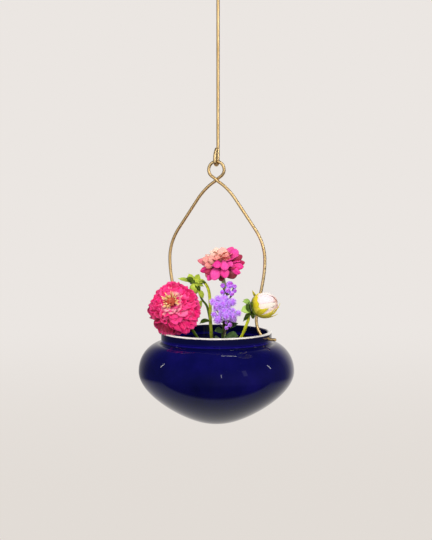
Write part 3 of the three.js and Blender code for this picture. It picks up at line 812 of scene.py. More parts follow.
def stem(shape, foot, points, low_d, high_d, tone=0.5, slot=0, steps=7):
    """A stem that rises from inside the mix and gets thinner upwards."""
    places = [(foot[0], foot[1], PLANTING_DROP - MIX_DROP - STEM_SET / 2), *points]
    route = through([planted(*p) for p in places], steps)
    shape.tube(route, lambda s: lerp(low_d, high_d, s) / 2 * MM, 12, slot, tone)
    return route


def calyx(shape, base, radius, height, tone, slot=0, lobes=5):
    """The green cup under a flower head."""
    rows = []
    looks = []
    sides, levels = 20, 8
    for i in range(levels + 1):
        u = i / levels
        r = radius * (0.35 + 0.65 * math.sin(u * math.pi / 2) ** 0.8)
        z = -height * (1 - u) - 0.2
        row = []
        for turn in ring(sides):
            bulge = r * (1 + 0.06 * u * math.cos(lobes * turn))
            row.append(base @ (polar(bulge, turn, z) * MM))
        rows.append(row)
        looks.append([(u, j / sides, tone) for j in range(sides)])
    shape.barrel(rows, looks, slot)


# The zinnia's outermost petals: place round the head in degrees, the tip's distance from its axis and tone

# The low tones from 226 to 262 degrees, on the lower left, are painted shade on that side.
ZINNIA_OUTER = [
    (320, 28, 0.5), (310, 30, 0.62), (300, 29, 0.45), (291, 30.5, 0.56), (282, 28, 0.3), (226, 27, 0.06),
    (238, 29, 0.03), (250, 29, 0.08), (262, 26.5, 0.1), (336, 27.5, 0.4), (350, 26.5, 0.55), (6, 25.5, 0.5),
    (117, 28.5, 0.2), (156, 26.5, 0.5), (167, 27, 0.25), (178, 26, 0.4),
]
ZINNIA_FORM = {"neck": 0.3, "blunt": 0.55, "fullest": 0.7}


def zinnia():
    rng = random.Random(5)
    head = head_frame((-41.3, -15.5, 27.2), (-0.16, -0.86, 0.48))
    zinnia_petals(head, rng)
    zinnia_disk(head, rng)
    green = Shape()
    points = [(-16.5, -6.5, -8), (-20, -9, -1), (-25.5, -12.5, 7.5), (-32.5, -12, 16.5), (-40, -10.5, 23.6)]
    stem(green, (-13, -4), points, 2.9, 2.7, (0.5, 0.9))
    calyx(green, head, 5.4, 7.5, 0.2)
    green.piece("zinnia_stalk", "bowl", "stem_dark", [dark_green], ["zinnia_stem"])
    sepals_under("zinnia_sepals", head, 9, 9.0, 6.0, rng)


def zinnia_petals(head, rng):
    """A spiral of petals from the outside inwards, then the outermost ones and a ring under the eye."""
    # The dark base colour reaching far along each petal is partly the petal's own colour and partly painted
    # shade between the petals.
    top = petal_look(
        "petal_hot_pink", srgb(128, 0, 42),
        [(0.0, srgb(126, 0, 42)), (0.2, srgb(208, 0, 86)), (0.55, srgb(254, 16, 122)),
         (0.85, srgb(255, 92, 162)), (1.0, srgb(255, 184, 192))],
        srgb(255, 96, 162), 0.3, tip=srgb(255, 72, 152), base_end=0.66,
    )
    back = petal_look(
        "petal_deep_pink", srgb(100, 0, 40), [(0.0, srgb(120, 0, 46)), (1.0, srgb(226, 20, 104))],
        srgb(236, 50, 120), 0.3,
    )
    shape = Shape()
    count = 112
    for k in range(count):
        t = k / (count - 1)
        turn = GOLDEN_TURN * k + rng.uniform(-9, 9)
        bend = lerp(-44, -62, t) + rng.uniform(-18, 18)
        base_r, base_z = lerp(3.0, 4.4, t), lerp(0.5, 9.0, t)
        base = head @ around(turn, base_r, base_z)
        outward = outward_of(base)
        low_right = max(0.0, 0.5 * outward.x - 0.87 * outward.z)
        outer_r = 25.2 + 3.4 * low_right ** 2 + 2.6 * max(0.0, outward.z) ** 2
        tip_r = lerp(outer_r, 8.6, t ** 1.1) * rng.uniform(0.93, 1.04)
        tip_z = lerp(-3.0 + 6.0 * outward.z, 14.0, t ** 0.7) + rng.uniform(-1.6, 1.6)
        length, rise = reaching(base_r, base_z, tip_r, tip_z, bend)
        base = base @ Matrix.Rotation(math.radians(rng.uniform(-24, 24)), 4, "X")
        # Painted shade: outer petals on the lower left, the side away from the key light, get a darker tone;
        # the inner petals on the lower side get a paler tone.
        shade = 0.62 * min(0.0, outward.x * 0.7 + outward.z) * (1 - t) ** 2 + 0.3 * max(0.0, -outward.z) * t
        petal(
            shape, base, length, lerp(14.0, 7.0, t) * rng.uniform(0.8, 1.2), rise, bend,
            share_of(lerp(0.5, 0.92, t) + shade + rng.uniform(-0.4, 0.27)), rng,
            ruffle=rng.uniform(0.2, 0.55), notch=rng.uniform(0.04, 0.2), cup=rng.uniform(-0.2, 0.4),
            sway=rng.uniform(-0.12, 0.12), **ZINNIA_FORM,
        )
    base_r, base_z, bend = 3.2, 1.5, -50
    for turn, tip_r, tone in ZINNIA_OUTER:
        base = head @ around(turn, base_r, base_z)
        length, rise = reaching(base_r, base_z, tip_r, -5.0, bend)
        petal(
            shape, base, length, 13.0, rise, bend, tone, rng, ruffle=0.3, notch=0.08, cup=0.1, **ZINNIA_FORM,
        )
    for turn in range(0, 360, 40):
        petal(shape, head @ around(turn, 1.0, 8.6), 6.4, 5.6, 8, 20, 0.75, rng, neck=0.6, blunt=0.6)
    shape.piece(
        "zinnia_bloom", "bowl", "petal_pink", [top, back], ["zinnia_petals"],
        thick=0.00035, levels=1, under=1,
    )


def sepals_under(name, head, count, length, width, rng):
    """A ring of short green sepals under an open flower."""
    shape = Shape()
    for k in range(count):
        base = head @ around(360 * k / count, 3.4, -1.5)
        petal(shape, base, length, width, -8, -24, rng.uniform(0.1, 0.3), rng, neck=0.7, blunt=0.2)
    shape.piece(name, "bowl", "stem_dark", [leaf_green], thick=0.0004, levels=1)


def zinnia_disk(head, rng):
    """The bloom's eye: a red-orange dome of closed florets among open cream and yellow ones."""
    eye = petal_look(
        "disk_red", srgb(204, 62, 54), [(0.0, srgb(230, 88, 76)), (1.0, srgb(248, 146, 112))],
        srgb(250, 160, 116), 0.4,
    )
    star = petal_look(
        "disk_yellow", srgb(226, 110, 50), [(0.0, srgb(240, 186, 84)), (1.0, srgb(253, 236, 186))],
        srgb(255, 240, 190), 0.4,
    )
    shape = Shape()
    count = 70
    for k in range(count):
        t = math.sqrt((k + 0.5) / count)
        turn = GOLDEN_TURN * k
        root = (head @ around(turn, 3.6 * t, 11.0 + 2.0 * (1 - t * t))).translation
        tip = (head @ around(turn, 4.6 * t, 13.4 + 2.2 * (1 - t * t) + rng.uniform(-0.5, 0.9))).translation
        shape.tube([root, lerp(root, tip, 0.6), tip], lambda s: lerp(0.5, 0.36, s) * MM, 6, 0, rng.random())
    shape.piece("zinnia_florets", "bowl", "disk_orange", [eye], ["zinnia_disk"])
    open_florets = Shape()
    for _ in range(54):
        base = head @ around(rng.uniform(0, 360), rng.uniform(2.2, 6.3), 13.0 + rng.uniform(-0.6, 1.8))
        petal(
            open_florets, base, rng.uniform(2.2, 6.0), rng.uniform(0.7, 1.2), rng.uniform(10, 74), -24,
            rng.random(), rng, rows=4, columns=2, blunt=0.3, neck=0.6,
        )
    open_florets.piece("zinnia_open_florets", "bowl", "disk_orange", [star], thick=0.0003)


# The top bloom's showing petals: root and tip in the planting frame, width, bend and tone

TOP_BLOOM_PETALS = [
    ((1.2, -9, 72.4), (0.3, -16.5, 65), 9.4, -70, 0.3),
    ((6.4, -9, 72.2), (9.0, -17, 63), 8.6, -64, 0.44),
    ((9.6, -7, 71.6), (15.8, -10.6, 66.6), 7.0, -56, 0.4),
    ((0.4, -9, 66.6), (-2.6, -15.5, 53), 11.2, -60, 0.42),
    ((6.8, -9, 66.4), (8.7, -16, 55.2), 9.8, -70, 0.34),
    ((-3, -5, 62), (-8.6, -10, 52.4), 6.8, -60, 0.32),
    ((12.6, -4, 65), (17.8, -8, 54.2), 12.0, -50, 0.0),
    ((5, -1, 60), (4.6, -7.5, 51.4), 6.0, -60, 0.0),
    ((11, -4, 66), (23.6, -6, 59.4), 8.0, -60, 0.34),
    ((12, -3, 68), (26.6, -4, 65), 8.0, -50, 0.28),
    ((12, 1, 69), (28, 2, 69.4), 7.0, -40, 0.12),
    ((12, 0, 71), (25.6, -1, 75.4), 8.0, -40, 0.06),
    ((11, 0, 73), (21.4, 0, 81), 11.0, -30, 0.42),
    ((11, 3, 74), (15.6, 4, 84.6), 9.0, -30, 0.46),
    ((5, -5, 70), (7.4, -3, 84.2), 12.0, -30, 0.86),
    ((4, -5, 69), (1.6, -6.4, 78), 9.0, -40, 0.8),
    ((8, -5, 68), (10.6, -5.6, 77.8), 8.4, -40, 0.68),
    ((0, 0, 72), (-0.8, 2.5, 83.8), 9.4, -40, 1.0),
    ((0, -3, 71), (-5, -5, 78.6), 8.4, -40, 0.92),
    ((0, -4, 69), (-7.4, -10, 74), 8.0, -50, 0.8),
    ((-1, -3, 69), (-13.6, -6, 73.6), 8.0, -40, 0.74),
    ((-1, 1, 68), (-18.6, 1, 71), 7.0, -40, 0.6),
    ((-1, -4, 67), (-11.6, -9, 67.4), 7.4, -60, 0.66),
    ((-2, -2, 65), (-16, -4, 61.6), 7.4, -60, 0.22),
    ((-1, -4, 64), (-11.4, -9.6, 59.6), 7.0, -60, 0.08),
    ((-2, 0, 62), (-10.6, -4, 55.4), 8.4, -70, 0.64),
]


def top_bloom():
    rng = random.Random(23)
    head = head_frame((6.2, 4.5, 55), (-0.06, -0.14, 0.98))
    top_bloom_petals(head, rng)
    green = Shape()
    points = [(7.5, 4, 0), (9, 2, 22), (8.6, 2.4, 40), (6.8, 4.2, 52), (6.3, 4.4, 56)]
    stem(green, (5, 6), points, 4.2, 4.0, 0.95)
    cup = head @ Matrix.Translation((0, 0, 5 * MM))
    calyx(green, cup, 4.8, 6.0, 0.5)
    green.piece("top_bloom_stalk", "bowl", "stem_dark", [grey_green], ["top_bloom_stem"])
    sepals_under("top_bloom_sepals", cup, 8, 4.4, 3.4, rng)


def top_bloom_petals(head, rng):
    """The petals that show, and a dome of others behind them."""
    # Its edge setting paints shade along the petals' sides.
    top = petal_look(
        "petal_magenta", srgb(136, 8, 64),
        [(0.0, srgb(122, 34, 44)), (0.1, srgb(190, 26, 80)), (0.26, srgb(246, 16, 142)),
         (0.44, srgb(253, 70, 172)), (0.64, srgb(236, 138, 128)), (0.85, srgb(250, 190, 172)),
         (1.0, srgb(254, 226, 204))],
        srgb(255, 146, 196), 0.3, edge=0.3,
    )
    back = petal_look(
        "petal_maroon", srgb(70, 12, 20),
        [(0.0, srgb(104, 28, 36)), (0.4, srgb(146, 40, 62)), (0.7, srgb(214, 118, 98)),
         (1.0, srgb(246, 196, 168))],
        srgb(190, 100, 90), 0.3, roughness=0.55,
    )
    shape = Shape()
    middle = Vector((6.0, 6.0, 68.0))
    to_viewer = Vector((0, -0.9, 0.5))
    for root, tip, width, bend, tone in TOP_BLOOM_PETALS:
        face = (Vector(tip) - middle).normalized() + to_viewer
        curl = -0.4 if tone < 0.5 else -0.2
        leaf(
            shape, root, tip, face, width, bend, tone, rng, cup=curl, ruffle=rng.uniform(0.1, 0.24),
            neck=0.42, blunt=0.6, fullest=0.62, sway=rng.uniform(-0.05, 0.05),
        )
    count = 34
    for k in range(count):
        t = k / (count - 1)
        turn = GOLDEN_TURN * k + rng.uniform(-8, 8)
        rise_of_tip = math.radians(lerp(-30, 66, t))
        base_r, base_z = 3.2, lerp(4.0, 17.0, t)
        bend = lerp(-84, -44, t) + rng.uniform(-14, 14)
        tip_r, tip_z = 19.5 * math.cos(rise_of_tip), 14 + 14.5 * math.sin(rise_of_tip)
        base = head @ around(turn, base_r, base_z)
        outward = outward_of(base)
        length, rise = reaching(base_r, base_z, (tip_r + 1.0) * (1 + 0.3 * min(0.0, outward.y)), tip_z, bend)
        petal(
            shape, base, length, rng.uniform(10.0, 12.5), rise, bend,
            share_of(0.1 + 0.75 * t - 0.3 * outward.x * t + rng.uniform(-0.12, 0.16)), rng,
            ruffle=rng.uniform(0.03, 0.1), notch=rng.uniform(0.0, 0.06), cup=rng.uniform(-0.3, 0.0),
            neck=0.35, blunt=0.58, fullest=0.62, sway=rng.uniform(-0.08, 0.08),
        )
    shape.piece(
        "top_bloom_flower", "bowl", "petal_salmon", [top, back], ["top_bloom_petals"],
        thick=0.0004, levels=1, under=1,
    )


def bud_side(radius, length, t):
    """(radius, height) on a closed bud's side, from its base to its tip."""
    r = 3 * t * (1 - t) ** 2 * radius * 1.35 + 3 * t * t * (1 - t) * radius * 1.3
    z = 3 * t * t * (1 - t) * length * 0.95 + t ** 3 * length
    return r, z


def bud_core(shape, base, radius, length, lobes, depth, twist, tone, slot=0):
    """The closed bud itself, with shallow lobes that wind towards its tip."""
    rows = []
    looks = []
    sides, levels = lobes * 8, 24
    for i in range(levels + 1):
        t = lerp(0.03, 0.985, i / levels)
        r, z = bud_side(radius, length, t)
        row = []
        for turn in ring(sides):
            fold = abs(math.sin(lobes * turn / 2 + twist * t))
            swell = r * (1 + depth * (fold ** 0.5 - 0.6))
            row.append(base @ (polar(swell, turn, z) * MM))
        rows.append(row)
        looks.append([(t, math.sin(lobes * math.pi * j / sides + twist * t), tone) for j in range(sides)])
    shape.barrel(rows, looks, slot)


def wrapped(
    shape, base, radius, length, turn, reach, spread_deg, off, lift, tone, rng, narrow, twist=0.0, taper=3,
):
    """A petal or sepal over a bud: off is how far it stands from it, lift how far its tip leaves it."""
    points = []
    looks = []
    rows, columns = 10, 6
    wave = rng.uniform(0, 6)
    for i in range(rows + 1):
        u = i / rows
        t = lerp(0.05, reach, u)
        r, z = bud_side(radius, length, t)
        r2, z2 = bud_side(radius, length, t + 0.01)
        out = Vector((z2 - z, -(r2 - r))).normalized()
        half = math.radians(spread_deg) * (1 - narrow * u ** taper) * math.sqrt(max(0.03, 1 - u ** 5))
        row = []
        for j in range(columns + 1):
            v = 2 * j / columns - 1
            away = off + lift * u ** 4 - 0.25 * v * v * off + 0.12 * math.sin(4 * u + wave) * abs(v)
            angle = math.radians(turn + twist * u) + v * half
            row.append(base @ (polar(r + out.x * away, angle, z + out.y * away) * MM))
        points.append(row)
        looks.append([(u, 2 * j / columns - 1, tone) for j in range(columns + 1)])
    shape.grid(points, looks)


# The nodding bud's leaves: root, tip and face in the planting frame, width, bend and tone

BUD_LEAVES = [
    ((-23, 11, 48.6), (-38, 8, 53.1), (-0.2, -0.8, 1), 5.0, -24, 0.6),
    ((-22.6, 12, 48.6), (-27.4, 13.6, 57.4), (-0.6, -1, 0.3), 7.4, -34, 0.95),
    ((-22.8, 10.6, 48.8), (-29.8, 7, 53.6), (0.2, -1, 0.6), 6.0, -50, 0.04),
    ((-21.8, 12, 48.6), (-17, 15.6, 56.8), (0.5, -1, 0.4), 6.4, -34, 0.9),
    ((-21.6, 10.0, 49.8), (-10.6, 7.4, 50.2), (0.1, -0.9, 0.7), 4.6, -36, 0.85),
    # This dark narrow leaf under the pale one paints the shade on that bract's lower side.
    ((-17.6, 8.0, 49.6), (-10.0, 6.6, 49.2), (0.2, -1, 0.1), 2.8, -30, 0.05),
    ((-21.6, 11, 48.2), (-12.4, 8, 45.2), (0.2, -0.9, 0.8), 4.4, -30, 0.85),
    ((-21.4, 9.6, 47.6), (-16.4, 7, 40.2), (0.8, -0.9, 0.4), 5.4, -60, 0.04),
    ((-22.4, 13, 48.4), (-25, 23, 47.4), (0, 0.4, 1), 5.6, -40, 0.4),
    ((-17.4, 8, 42), (-12.8, 8.6, 33.2), (0.3, -1, 0.2), 5.0, -24, 0.95),
    ((-15, 8.6, 31), (-17.6, 6, 21), (-0.5, -1, 0), 4.6, -30, 0.8),
    ((-6, 0.4, 11.2), (-16.6, -4, 9.8), (0, -0.5, 1), 6.0, -80, 0.02),
]


def nodding_bud():
    """The green bud on a bent stem, with its star of bracts and a shoot."""
    rng = random.Random(31)
    head = head_frame((-22.8, 11.6, 47.8), (0.2, -0.25, -0.94))
    shape = Shape()
    bud_core(shape, head, 4.6, 11.0, 7, 0.14, 3.0, 1.0)
    shape.piece("green_bud_closed", "bowl", "stem_lime", [bract_green], ["green_bud"])
    green = Shape()
    points = [
        (-4.8, 0, -4), (-6, 1, 13), (-6.2, 3, 28), (-7.8, 7, 42), (-12, 10, 49), (-17, 11.6, 51.2),
        (-21, 11.6, 50.4),
    ]
    stem(green, (-4, 0), points, 3.7, 2.3, (0.0, 1.0))
    shoot = [(-5.6, 0.6, 8), (-7, 2, 17), (-9.8, 6, 26.7), (-14, 8.8, 31.8), (-16.6, 8.6, 37)]
    green.tube(through([planted(*p) for p in shoot], 7), lambda s: lerp(2.8, 1.8, s) / 2 * MM, 12, 1, 0.35)
    calyx(green, head, 3.4, 4.0, 0.4, slot=1)
    green.piece("bud_stalk", "bowl", "stem_lime", [lime, dark_green], ["bud_stem"])
    leaves(
        "bud_bracts", "stem_lime", [bract_green], BUD_LEAVES, rng, cup=0.3, neck=0.5, blunt=0.14, fullest=0.5,
    )


# The dahlia's leaves: root, tip and face in the planting frame, width, bend, tone and look (1 is pale)

DAHLIA_LEAVES = [
    ((32, -45.5, 33.4), (24.2, -48, 36), (-0.2, -0.7, 0.8), 6.4, -80, 0.6, 1),
    ((32, -47.5, 28.6), (22.6, -52, 27.4), (-0.1, -0.9, 0.5), 8.0, -50, 0.95, 1),
    ((33.2, -47.5, 26.6), (24.6, -50, 17.4), (-0.5, -1, 0.4), 4.0, -16, 0.04, 0),
    ((33.4, -47.4, 26.8), (34.4, -49, 19.6), (-0.2, -1, 0), 3.4, -16, 0.04, 0),
    ((33, -42.5, 25.6), (27, -36, 19.6), (-0.6, 0.6, 0.4), 4.4, -30, 0.2, 0),
    ((31.6, -43, 33), (25.6, -37.4, 37), (-0.4, 0.5, 1), 5.4, -40, 0.5, 0),
]


# The dahlia's sepals: place and twist in degrees, reach along the bud, half width in degrees, the tip's lift

DAHLIA_SEPALS = [
    (298, -26, 0.64, 30, 0.5), (328, -34, 0.8, 18, 0.7), (338, -30, 0.97, 20, 2.0), (4, -8, 0.74, 16, 2.2),
    (342, 0, 0.58, 32, 0.2), (34, 6, 0.8, 20, 2.0), (62, 6, 0.74, 24, 1.2), (272, 6, 0.46, 34, 0.1),
    (236, 6, 0.42, 34, 0.1), (204, 6, 0.42, 34, 0.1), (172, 6, 0.43, 34, 0.2), (140, 6, 0.46, 34, 0.2),
    (100, 6, 0.5, 34, 0.2),
]
DAHLIA_R = 11.7
DAHLIA_LENGTH = 24.0


def dahlia_bud():
    rng = random.Random(47)
    facing = Vector((0.93, -0.2, 0.24)).normalized()
    foot = Vector((32, -47, 29.5))
    head = head_frame(foot, facing)
    seat = head @ Matrix.Translation((0, 0, 2.0 * MM))
    dahlia_petals(seat, rng)
    dahlia_sepals(seat, rng)
    green = Shape()
    under = foot - facing * 3.0
    points = [(21, -14, -8), (25, -22, 1), (28.6, -35, 13), (30.2, -43.5, 20.2), tuple(under)]
    stem(green, (18, -9), points, 3.1, 2.7, (1.0, 0.6))
    calyx(green, head, 6.4, 5.0, 0.2, slot=1)
    green.piece("dahlia_stalk", "bowl", "stem_lime", [lime, dark_green], ["dahlia_stem"])
    leaves(
        "dahlia_bracts", "stem_lime", [bract_green, pale_leaf], DAHLIA_LEAVES, rng,
        cup=0.3, neck=0.45, blunt=0.12, fullest=0.5,
    )


def dahlia_petals(seat, rng):
    """The closed bud: a core and the petals that lie over it."""
    white = petal_look(
        "petal_white_pink", srgb(246, 236, 170),
        [(0.0, srgb(246, 236, 224)), (0.5, srgb(247, 227, 232)), (1.0, srgb(249, 240, 232))],
        srgb(246, 206, 222), 0.45, tip=srgb(236, 172, 142), roughness=0.5,
    )
    core = Shape()
    bud_core(core, seat, DAHLIA_R * 0.94, DAHLIA_LENGTH * 0.97, 9, 0.10, 3.2, 0.4)
    core.piece("dahlia_bud_core", "bowl", "bud_cream", [white], ["dahlia_bud"])
    shape = Shape()
    for k in range(15):
        reach, lift = rng.uniform(0.86, 0.98), rng.uniform(0.0, 0.4)
        wrapped(
            shape, seat, DAHLIA_R, DAHLIA_LENGTH, GOLDEN_TURN * k, reach, 25, 0.1 + 0.014 * k, lift,
            rng.random(), rng, twist=26, narrow=0.5,
        )
    shape.piece("dahlia_closed_petals", "bowl", "bud_cream", [white], thick=0.00025, levels=1)


def dahlia_sepals(seat, rng):
    """The pointed sepals round the bud, one that has come away from it, and the green cup below."""
    sepal = petal_look(
        "sepal_yellow_green", srgb(34, 62, 14),
        [(0.0, srgb(184, 178, 10)), (0.5, srgb(224, 208, 24)), (1.0, srgb(240, 224, 70))],
        srgb(150, 154, 8), 0.4, roughness=0.45, base_end=0.85, base_share=1.0,
    )
    outer = Shape()
    for turn, twist, reach, width, lift in DAHLIA_SEPALS:
        narrow, taper = (0.88, 1.2) if lift > 0.4 else (0.3, 3)
        wrapped(
            outer, seat, DAHLIA_R, DAHLIA_LENGTH, turn, reach, width, 0.7, lift,
            rng.uniform(0.3, 1.0), rng, narrow=narrow, twist=twist, taper=taper,
        )
    leaf(
        outer, (37.4, -43.4, 38.6), (33.4, -42, 46), (-1, -0.6, 0.3), 3.0, -12, 0.9, rng,
        neck=0.8, blunt=0.1, fullest=0.3,
    )
    outer.piece(
        "dahlia_outer_sepals", "bowl", "sepal_yellow_green", [sepal], ["dahlia_sepals"],
        thick=0.0004, levels=1,
    )
    cup = Shape()
    lobes = 11
    for k in range(lobes):
        reach = 0.25 if k % 2 else 0.21
        tone = rng.uniform(0.05, 0.4)
        wrapped(
            cup, seat, DAHLIA_R, DAHLIA_LENGTH, 360 * k / lobes, reach, 27, 1.2, 0.1, tone, rng, narrow=0.4,
        )
    cup.piece("dahlia_cup", "bowl", "stem_lime", [bract_green], thick=0.0005, levels=1)


# Floss flower: (x, y, z, radius) of its small heads in the planting frame, in millimetres

FLOSS_TOP_BUDS = [
    (6.1, -8, 47.4, 2.6), (12.9, -8, 48.2, 3.9), (17.6, -7, 46.4, 2.4), (11.0, -11, 43.1, 2.9),
    (14.9, -9, 39.8, 2.8), (5.8, -8, 40.9, 2.6), (17.8, -6, 42.0, 2.2),
]
FLOSS_LOW_BUDS = [(9.4, -14, 11.8, 1.5), (13.0, -15, 9.8, 2.5), (9.7, -15, 7.0, 2.1), (13.3, -13, 14.2, 1.6)]
FLOSS_TUFTS = [
    (-3.1, -13, 32.1, 3.9), (1.9, -11, 34.7, 4.0), (7.4, -13, 34.9, 4.9), (6.4, -16, 30.2, 4.8),
    (0.5, -15, 28.9, 4.4), (15.5, -11, 31.9, 4.4), (-0.9, -13, 25.4, 3.0), (7.4, -16, 24.1, 4.4),
    (10.7, -13, 26.6, 4.0), (-2.5, -14, 20.0, 3.2), (1.6, -16, 15.2, 5.0), (9.6, -18, 18.7, 4.4),
    (16.0, -16, 18.5, 4.4), (16.0, -14, 23.9, 2.9), (21.3, -14, 21.1, 3.2), (17.4, -14, 14.9, 3.0),
    (11.6, -13, 31.0, 3.4), (3.8, -15, 25.6, 3.4), (12.6, -16, 22.0, 3.2), (4.4, -15, 20.0, 3.2),
]

# Its leaves: root, tip and face in the planting frame, width, bend and tone

FLOSS_LEAVES = [
    ((6.6, -8.4, 2.6), (-1.8, -12, 4.2), (-0.2, -0.8, 0.9), 8.0, -40, 0.3),
    ((8, -8.4, 5.4), (21.2, -8, 10.6), (0.2, -0.8, 0.9), 7.6, -50, 0.15),
    ((7, -8.2, -5), (21, -18, -0.6), (0.1, -0.8, 0.9), 12.0, -50, 0.45),
    ((5.6, -8.0, -6), (-1, -16, -3.4), (-0.1, -0.6, 1), 9.0, -40, 0.35),
]


def floss_thread(shape, root, tip, droop, thick, tone):
    """One fine thread of a tuft, bent a little on its way."""
    bend = lerp(root, tip, 0.55) + droop
    route = [root, lerp(root, bend, 0.6), bend, tip]
    shape.tube(route, lambda s: thick * lerp(1.0, 0.55, s), 4, 0, tone, round_ends=False)


def floss_tuft(shape, place, way, radius, rng):
    """An open head: a violet eye in a fringe of threads that stands out to a rounded outline."""
    shape.lump(place - way * radius * 0.2, radius * 0.78, rng, 0.55, rough=0.3)
    root = place - way * radius * 0.4
    thread_r = 0.00026
    for _ in range(int(80 + 16 * radius / MM)):
        spin = Vector((rng.gauss(0, 1), rng.gauss(0, 1), rng.gauss(0, 1))).normalized()
        out = (spin + way * 0.7).normalized()
        reach = radius * rng.uniform(0.85, 1.2)
        inner = out.dot(way) > 0.95
        tip = place - way * radius * 0.15 + out * reach * (0.8 if inner else 1.0)
        tone = 0.9 if inner else rng.uniform(0.0, 0.4)
        droop = Vector((rng.uniform(-1, 1), rng.uniform(-1, 1), rng.uniform(-1, 1))) * radius * 0.14
        floss_thread(shape, root, tip, droop, thread_r, tone)


def floss_bud(shape, place, way, radius, rng):
    """A closed head: blunt florets packed on a dome."""
    shape.lump(place, radius * 0.8, rng, 0.6, rough=0.2)
    florets, step = 16, 2.39996
    side = way.orthogonal().normalized()
    for k in range(florets):
        up = 1 - 1.5 * (k + 0.5) / florets
        turn = step * k
        flat = math.sqrt(max(0.0, 1 - up * up))
        out = way * up + (side * math.cos(turn) + way.cross(side) * math.sin(turn)) * flat
        tone = 1.0 if k < 2 else rng.uniform(0.35, 0.8)
        shape.lump(place + out * radius * 0.62, radius * 0.36, rng, tone, rough=0.3)


def floss_cup(shape, place, way, radius, rng):
    """The small green and purple cup that holds a head, on its own short stalk."""
    base = place - way * radius * 0.75
    side = way.orthogonal().normalized()
    for k, turn in enumerate(ring(9)):
        out = side * math.cos(turn) + way.cross(side) * math.sin(turn)
        tip = base + out * radius * 0.8 + way * radius * rng.uniform(0.35, 0.75)
        route = through([base, base + out * radius * 0.6, tip], 3)
        slot = 1 if k % 3 == 0 else 0
        shape.tube(route, lambda s: radius * lerp(0.2, 0.06, s), 6, slot, rng.uniform(0.2, 0.9))


def floss_flower():
    """One stalk with closed heads above and below, open tufts between them, and leaves at its foot."""
    rng = random.Random(61)
    lilac = floss_look()
    purple_green = green_look("floss_cup", srgb(84, 44, 74), srgb(150, 132, 110), srgb(104, 64, 92), 0.6)
    green = Shape()
    points = [(6, -8, -4), (8, -8.5, 14), (9.4, -8, 30), (10.6, -8, 41)]
    route = stem(green, (5, -7), points, 2.9, 2.0, 0.3, steps=9)
    twig_drop, twig_sag, twig_r = 0.009, 0.0015, 0.00055
    heads = (
        ("floss_top_heads", FLOSS_TOP_BUDS, floss_bud, "floss_top_buds", (11.4, -4, 43)),
        ("floss_open_heads", FLOSS_TUFTS, floss_tuft, "floss_tufts", (8, -6, 24)),
        ("floss_low_heads", FLOSS_LOW_BUDS, floss_bud, "floss_low_buds", (9, -9, 7)),
    )
    for name, places, form, stood_for, hub in heads:
        shape = Shape()
        for x, y, z, radius in places:
            place = planted(x, y, z)
            way = (place - planted(*hub)).normalized()
            way = (way + VIEWER * 0.9 + UP * 0.25).normalized()
            form(shape, place, way, radius * MM, rng)
            floss_cup(green, place, way, radius * MM, rng)
            low = min(route, key=lambda p: abs(p.z - (place.z - twig_drop)))
            joint = lerp(low, place, 0.6) - UP * twig_sag
            twig = through([low, joint, place - way * radius * MM * 0.6], 4)
            green.tube(twig, lambda s: twig_r, 6, 1, 0.4)
        shape.piece(name, "bowl", "floss_lilac", [lilac], [stood_for])
    green.piece("floss_stalk", "bowl", "stem_dark", [dark_green, purple_green], ["floss_stem"])
    leaves(
        "floss_leaves", "stem_dark", [leaf_green, pale_leaf], FLOSS_LEAVES, rng, under=1,
        cup=0.2, ruffle=0.06, neck=0.3, blunt=0.16, fullest=0.5, rows=10, columns=8,
    )


# Studio

CAMERA_DISTANCE = 1.0
CAMERA_ABOVE_RIM = 0.1333
CAMERA_LEFT = 0.0004
CAMERA_PITCH = math.radians(4.19)  # downwards
CAMERA_LENS = 68.45
FLOOR_DROP = 0.8  # below the bowl's base
PALE = srgb(235, 230, 226)
PALE_LOW = srgb(226, 220, 214)


def camera():
    data = bpy.data.cameras.new("camera")
    data.lens = CAMERA_LENS
    data.sensor_width = 36.0
    made = added("camera", data)
    ahead = -VIEWER * math.cos(CAMERA_PITCH) - UP * math.sin(CAMERA_PITCH)
    made.location = VIEWER * CAMERA_DISTANCE + UP * (RIM_Z + CAMERA_ABOVE_RIM) - ACROSS * CAMERA_LEFT
    made.rotation_mode = "QUATERNION"
    made.rotation_quaternion = ahead.to_track_quat("-Z", "Y")
    bpy.context.scene.camera = made


def wall_tones(look, way):
    """The dim room in the glaze's reflections: pale behind the planter, darker at the sides and left."""
    facing = dot(look, way, VIEWER)
    sideways = dot(look, way, ACROSS)
    tones = ramp(
        look, spread(look, facing, -0.95, -0.1),
        (0.0, PALE), (0.3, srgb(146, 143, 149)), (0.6, srgb(94, 92, 106)), (1.0, srgb(84, 80, 102)),
    )
    return mix(look, spread(look, sideways, 0.0, -0.5, 0.0, 0.6), tones, srgb(36, 42, 56))


def room():
    """The world: a pale background, a dim room on the viewer's side for reflections, and soft light."""
    world = bpy.data.worlds.new("room")
    world.use_nodes = True
    bpy.context.scene.world = world
    world.node_tree.nodes.remove(world.node_tree.nodes["Background"])
    way = node(world, "TexCoord").outputs["Generated"]
    height = node(world, "SeparateXYZ", {0: way}).outputs[2]
    walls = mix(world, spread(world, height, 0.15, 0.75, 0.0, 0.8), wall_tones(world, way), srgb(20, 20, 30))
    path = node(world, "LightPath")
    seen = node(world, "Background", {"Color": PALE, "Strength": 1.0})
    mirrored = node(world, "Background", {"Color": walls, "Strength": 1.0})
    soft = node(world, "Background", {"Color": srgb(255, 252, 248), "Strength": 0.62})
    direct = path.outputs["Is Camera Ray"]
    gloss = math_node(world, "MAXIMUM", path.outputs["Is Glossy Ray"], path.outputs["Is Transmission Ray"])
    first = node(world, "MixShader", {0: gloss, 1: soft.outputs[0], 2: mirrored.outputs[0]})
    both = node(world, "MixShader", {0: direct, 1: first.outputs[0], 2: seen.outputs[0]})
    out = world.node_tree.nodes["World Output"]
    world.node_tree.links.new(both.outputs[0], out.inputs["Surface"])


